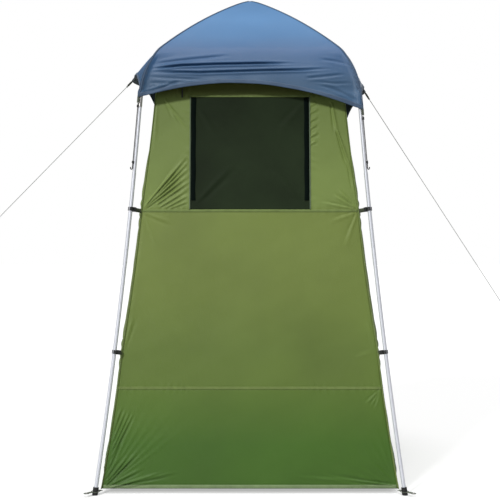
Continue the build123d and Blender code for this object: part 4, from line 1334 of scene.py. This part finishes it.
tooth_faces = ((0, 3, 2, 1), (4, 5, 6, 7), (0, 1, 5, 4), (1, 2, 6, 5), (2, 3, 7, 6), (3, 0, 4, 7))
faces = [tuple(i * 8 + v for v in face) for i in range(len(coil)) for face in tooth_faces]
teeth_object = mesh_object("door_zip_teeth", tooth.reshape(-1, 3), faces, black_plastic, smooth=False)
zip_tape = joined("door_zip_tape_cloth", zip_pieces, black_tape)
for piece in (zip_tape, teeth_object):
    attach(piece, "frame")
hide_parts("door_zip_tape")

# ---------------------------------------------------------------- straps, ceiling, hanging strap
def strap(corner, start_out, end_out, z, half_width, thickness):
    """Webbing from a clip to the cabin's corner, upright, slightly twisted and drawn in at its middle."""
    lean = leg_lean(z)
    sx, sy = CORNERS[corner]
    up = Vector((-sx * math.sin(lean) / math.sqrt(2), -sy * math.sin(lean) / math.sqrt(2), math.cos(lean)))
    side = Vector((sy, -sx, 0)) / math.sqrt(2)
    path, across = [], []
    for f in np.linspace(0, 1, 14):
        path.append(tuple(beside_leg(corner, z, start_out + (end_out - start_out) * f)))
        middle = math.sin(math.pi * f)
        turn = 0.10 * middle
        width = half_width * (1 - 0.08 * middle)
        across.append(tuple((up * math.cos(turn) + side * math.sin(turn)) * width))
    return ribbon_arrays(path, across, thickness)


strap_pieces = []
for corner in CORNERS:
    for z in (CLIP_LOW, CLIP_HIGH):
        reach = (leg_distance(z) - float(corner_half(np.array(z))) * math.sqrt(2)) * math.cos(leg_lean(z))
        strap_pieces.append(strap(corner, -0.0215, 0.004 - reach, z, 0.0098, 0.0016))
settle(joined("clip_strap_webbing", strap_pieces, dark_webbing), "webbing", "clip_straps")

# foot straps: from the cabin's corner, round the foot and out to the peg eyelet
FOOT_STRAP_Z, PEG_R = 0.01425, 0.962


def foot_strip(out, side, start, end):
    """Webbing along the ground between two distances from the tent's middle, with a slight arch."""
    path = []
    for f in np.linspace(0, 1, 12):
        path.append(out * (start + (end - start) * f) + [0, 0, FOOT_STRAP_Z + 0.0004 * math.sin(math.pi * f)])
    return ribbon_arrays(path, np.tile(side * 0.020 / 2, (12, 1)), 0.0015)


def foot_ring(out, side, centre, inner, outer):
    """A flat webbing ring round a foot or an eyelet."""
    angles = np.linspace(0, math.tau, 49)[:-1]
    spokes = np.array([out * math.cos(a) + side * math.sin(a) for a in angles])
    rows = []
    for radius, level in ((inner, -1), (outer, -1), (outer, 1), (inner, 1)):
        rows.append(out * centre + spokes * radius + [0, 0, FOOT_STRAP_Z + level * 0.00078])
    along = np.repeat(angles * (inner + outer) / 2, 4)
    uv = np.stack([along, np.tile([-0.004, 0.004, 0.004, -0.004], 48)], -1)
    return np.stack(rows, 1).reshape(-1, 3), ring_faces(48), uv


foot_pieces = []
for sx, sy in CORNERS.values():
    out = np.array([sx, sy, 0]) / math.sqrt(2)
    side = np.array([sy, -sx, 0]) / math.sqrt(2)
    leg_at = leg_distance(FOOT_STRAP_Z)
    foot_pieces += [
        foot_strip(out, side, 0.886, leg_at - 0.0152), foot_strip(out, side, leg_at + 0.0152, PEG_R - 0.0084),
        foot_ring(out, side, leg_at, 0.0142, 0.0188), foot_ring(out, side, PEG_R, 0.0081, 0.0118),
    ]
settle(joined("foot_strap_webbing", foot_pieces, grey_webbing), "webbing", "foot_straps")

# ceiling: four slack panels that rise to a flat patch, under the roof poles
CEILING_HALF, CEILING_LOW, CEILING_TOP, PATCH_HALF = 0.404, 1.8515, 2.1195, 0.060
ceiling_pieces = []
for gx, gy in GORES.values():
    s, t = np.meshgrid(np.linspace(-1, 1, 71), np.linspace(0, 1, 61))
    half = CEILING_HALF + (PATCH_HALF - CEILING_HALF) * t
    z = CEILING_LOW + (CEILING_TOP - CEILING_LOW) * t
    slack = np.sin(math.pi * t) * (1 - s * s)
    slack = -0.012 * slack + 0.0022 * smooth_noise(s * half, z, 0.16, 101 + gx + 2 * gy) * slack * 2
    reach, across = half + slack * 0.62, s * half
    z = z + slack * 0.78
    points = np.stack([across, reach * gy, z] if gy else [reach * gx, across, z], -1)
    flip = (gx, gy) in ((0, 1), (-1, 0))
    ceiling_pieces.append((
        points.reshape(-1, 3), grid_faces(61, 71, flip=flip), np.stack([across, z], -1).reshape(-1, 2),
    ))
a, b = np.meshgrid(np.linspace(-PATCH_HALF, PATCH_HALF, 13), np.linspace(-PATCH_HALF, PATCH_HALF, 13))
patch = np.stack([a, b, np.full_like(a, CEILING_TOP)], -1)
ceiling_pieces.append((patch.reshape(-1, 3), grid_faces(13, 13), np.stack([a, b], -1).reshape(-1, 2)))
ceiling = merged(joined("cabin_ceiling_cloth", ceiling_pieces, cabin_cloth), 0.0001)
thicken(ceiling, CABIN_THICKNESS)
settle(ceiling, "cabin_fabric", "cabin_ceiling")
hip_pieces = []
for sx, sy in CORNERS.values():
    share = np.linspace(0, 1, 40)[:, None]
    low = np.array([sx * CEILING_HALF, sy * CEILING_HALF, CEILING_LOW])
    line = low + (np.array([sx * PATCH_HALF, sy * PATCH_HALF, CEILING_TOP]) - low) * share
    side = np.array([sy, -sx, 0]) / math.sqrt(2) * 0.004
    hip_pieces.append(ribbon_arrays(line + [0, 0, 0.0012], np.tile(side, (40, 1)), 0.0012))
hips = joined("ceiling_hip_seams", hip_pieces, green_tape)
settle(hips, "cabin_fabric")

BAND_TOP, BAND_HEIGHT, BAND_DEPTH = 2.1192, 0.036, 0.017
outline = []
for angle in np.linspace(0, math.tau, 65)[:-1]:
    c, s = math.cos(angle), math.sin(angle)
    outline.append((
        math.copysign(abs(c) ** 0.45, c) * (BAND_DEPTH / 2 - 0.00075),
        math.copysign(abs(s) ** 0.30, s) * (BAND_HEIGHT / 2 - 0.00075),
    ))
rows = []
for x_at, inset in ((-0.010, 0.00075), (0.010, 0.00075), (0.010, -0.00075), (-0.010, -0.00075)):
    wider, taller = 1 + inset / (BAND_DEPTH / 2), 1 + inset / (BAND_HEIGHT / 2)
    rows.append([(x_at, y * wider, BAND_TOP - BAND_HEIGHT / 2 + z * taller) for y, z in outline])
points = np.array(rows).transpose(1, 0, 2).reshape(-1, 3)
uv = np.stack([np.repeat(np.arange(64) * 0.0016, 4), np.tile([-0.010, 0.010, 0.010, -0.010], 64)], -1)
hanging_strap = mesh_object("hanging_strap_webbing", points, ring_faces(64), dark_webbing, uv)
settle(hanging_strap, "webbing", "hanging_strap")

# ---------------------------------------------------------------- materials of the frame's own parts
NODE_MATERIALS = {
    "lower_leg": tube_metal, "upper_leg": tube_metal, "reducers": plated, "roof_pole": pole_fibre,
    "apex_hub": black_plastic, "foot_caps": black_rubber, "pole_clips": black_plastic,
    "corner_hook": black_plastic, "guy_runner": black_plastic, "guy_ring": plated, "peg_eyelets": plated,
    "zip_slider": plated, "zip_pull": black_plastic, "window_toggle": black_plastic, "hanging_ring": plated,
}
for name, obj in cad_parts.items():
    for start, material in NODE_MATERIALS.items():
        if name.startswith(start):
            obj.data.materials.clear()
            obj.data.materials.append(material)
            for face in obj.data.polygons:
                face.material_index = 0

# ---------------------------------------------------------------- floor and light
floor_material, _, floor_shader = base_material("pale floor", (0.60, 0.60, 0.60), 0.95)
floor_shader.inputs["Emission Color"].default_value = (1, 1, 1, 1)
floor_shader.inputs["Emission Strength"].default_value = 0.45
FLOOR_HALF = 60.0
floor_corners = [(x * FLOOR_HALF, y * FLOOR_HALF, 0) for x, y in ((-1, -1), (1, -1), (1, 1), (-1, 1))]
floor = mesh_object("floor", floor_corners, [(0, 1, 2, 3)], floor_material, smooth=False)

# a white studio: the backdrop shows brighter than it lights
world = bpy.data.worlds.new("studio")
bpy.context.scene.world = world
world.use_nodes = True
world.node_tree.nodes["Background"].inputs["Color"].default_value = (1.0, 1.0, 1.0, 1)
BACKDROP, AMBIENT = 1.0, 0.26
sky = world.node_tree
seen = mixed(sky, "MULTIPLY", node(sky, "ShaderNodeLightPath").outputs["Is Camera Ray"], BACKDROP - AMBIENT)
sky.links.new(mixed(sky, "ADD", seen, AMBIENT), sky.nodes["Background"].inputs["Strength"])
bpy.context.scene.view_settings.view_transform = "Standard"


def sun_light(name, towards, strength, softness):
    """A distant light that shines along a direction."""
    data = bpy.data.lights.new(name, "SUN")
    data.energy, data.angle = strength, math.radians(softness)
    light = new_object(name, data)
    light.rotation_euler = Vector(towards).to_track_quat("-Z", "Y").to_euler()


sun_light("key", (0.50, 0.78, -0.50), 1.80, 7)
sun_light("top", (0.05, 0.16, -1.0), 1.65, 30)
sun_light("rear fill", (-0.45, -0.80, -0.55), 0.7, 30)
floor.visible_diffuse = False
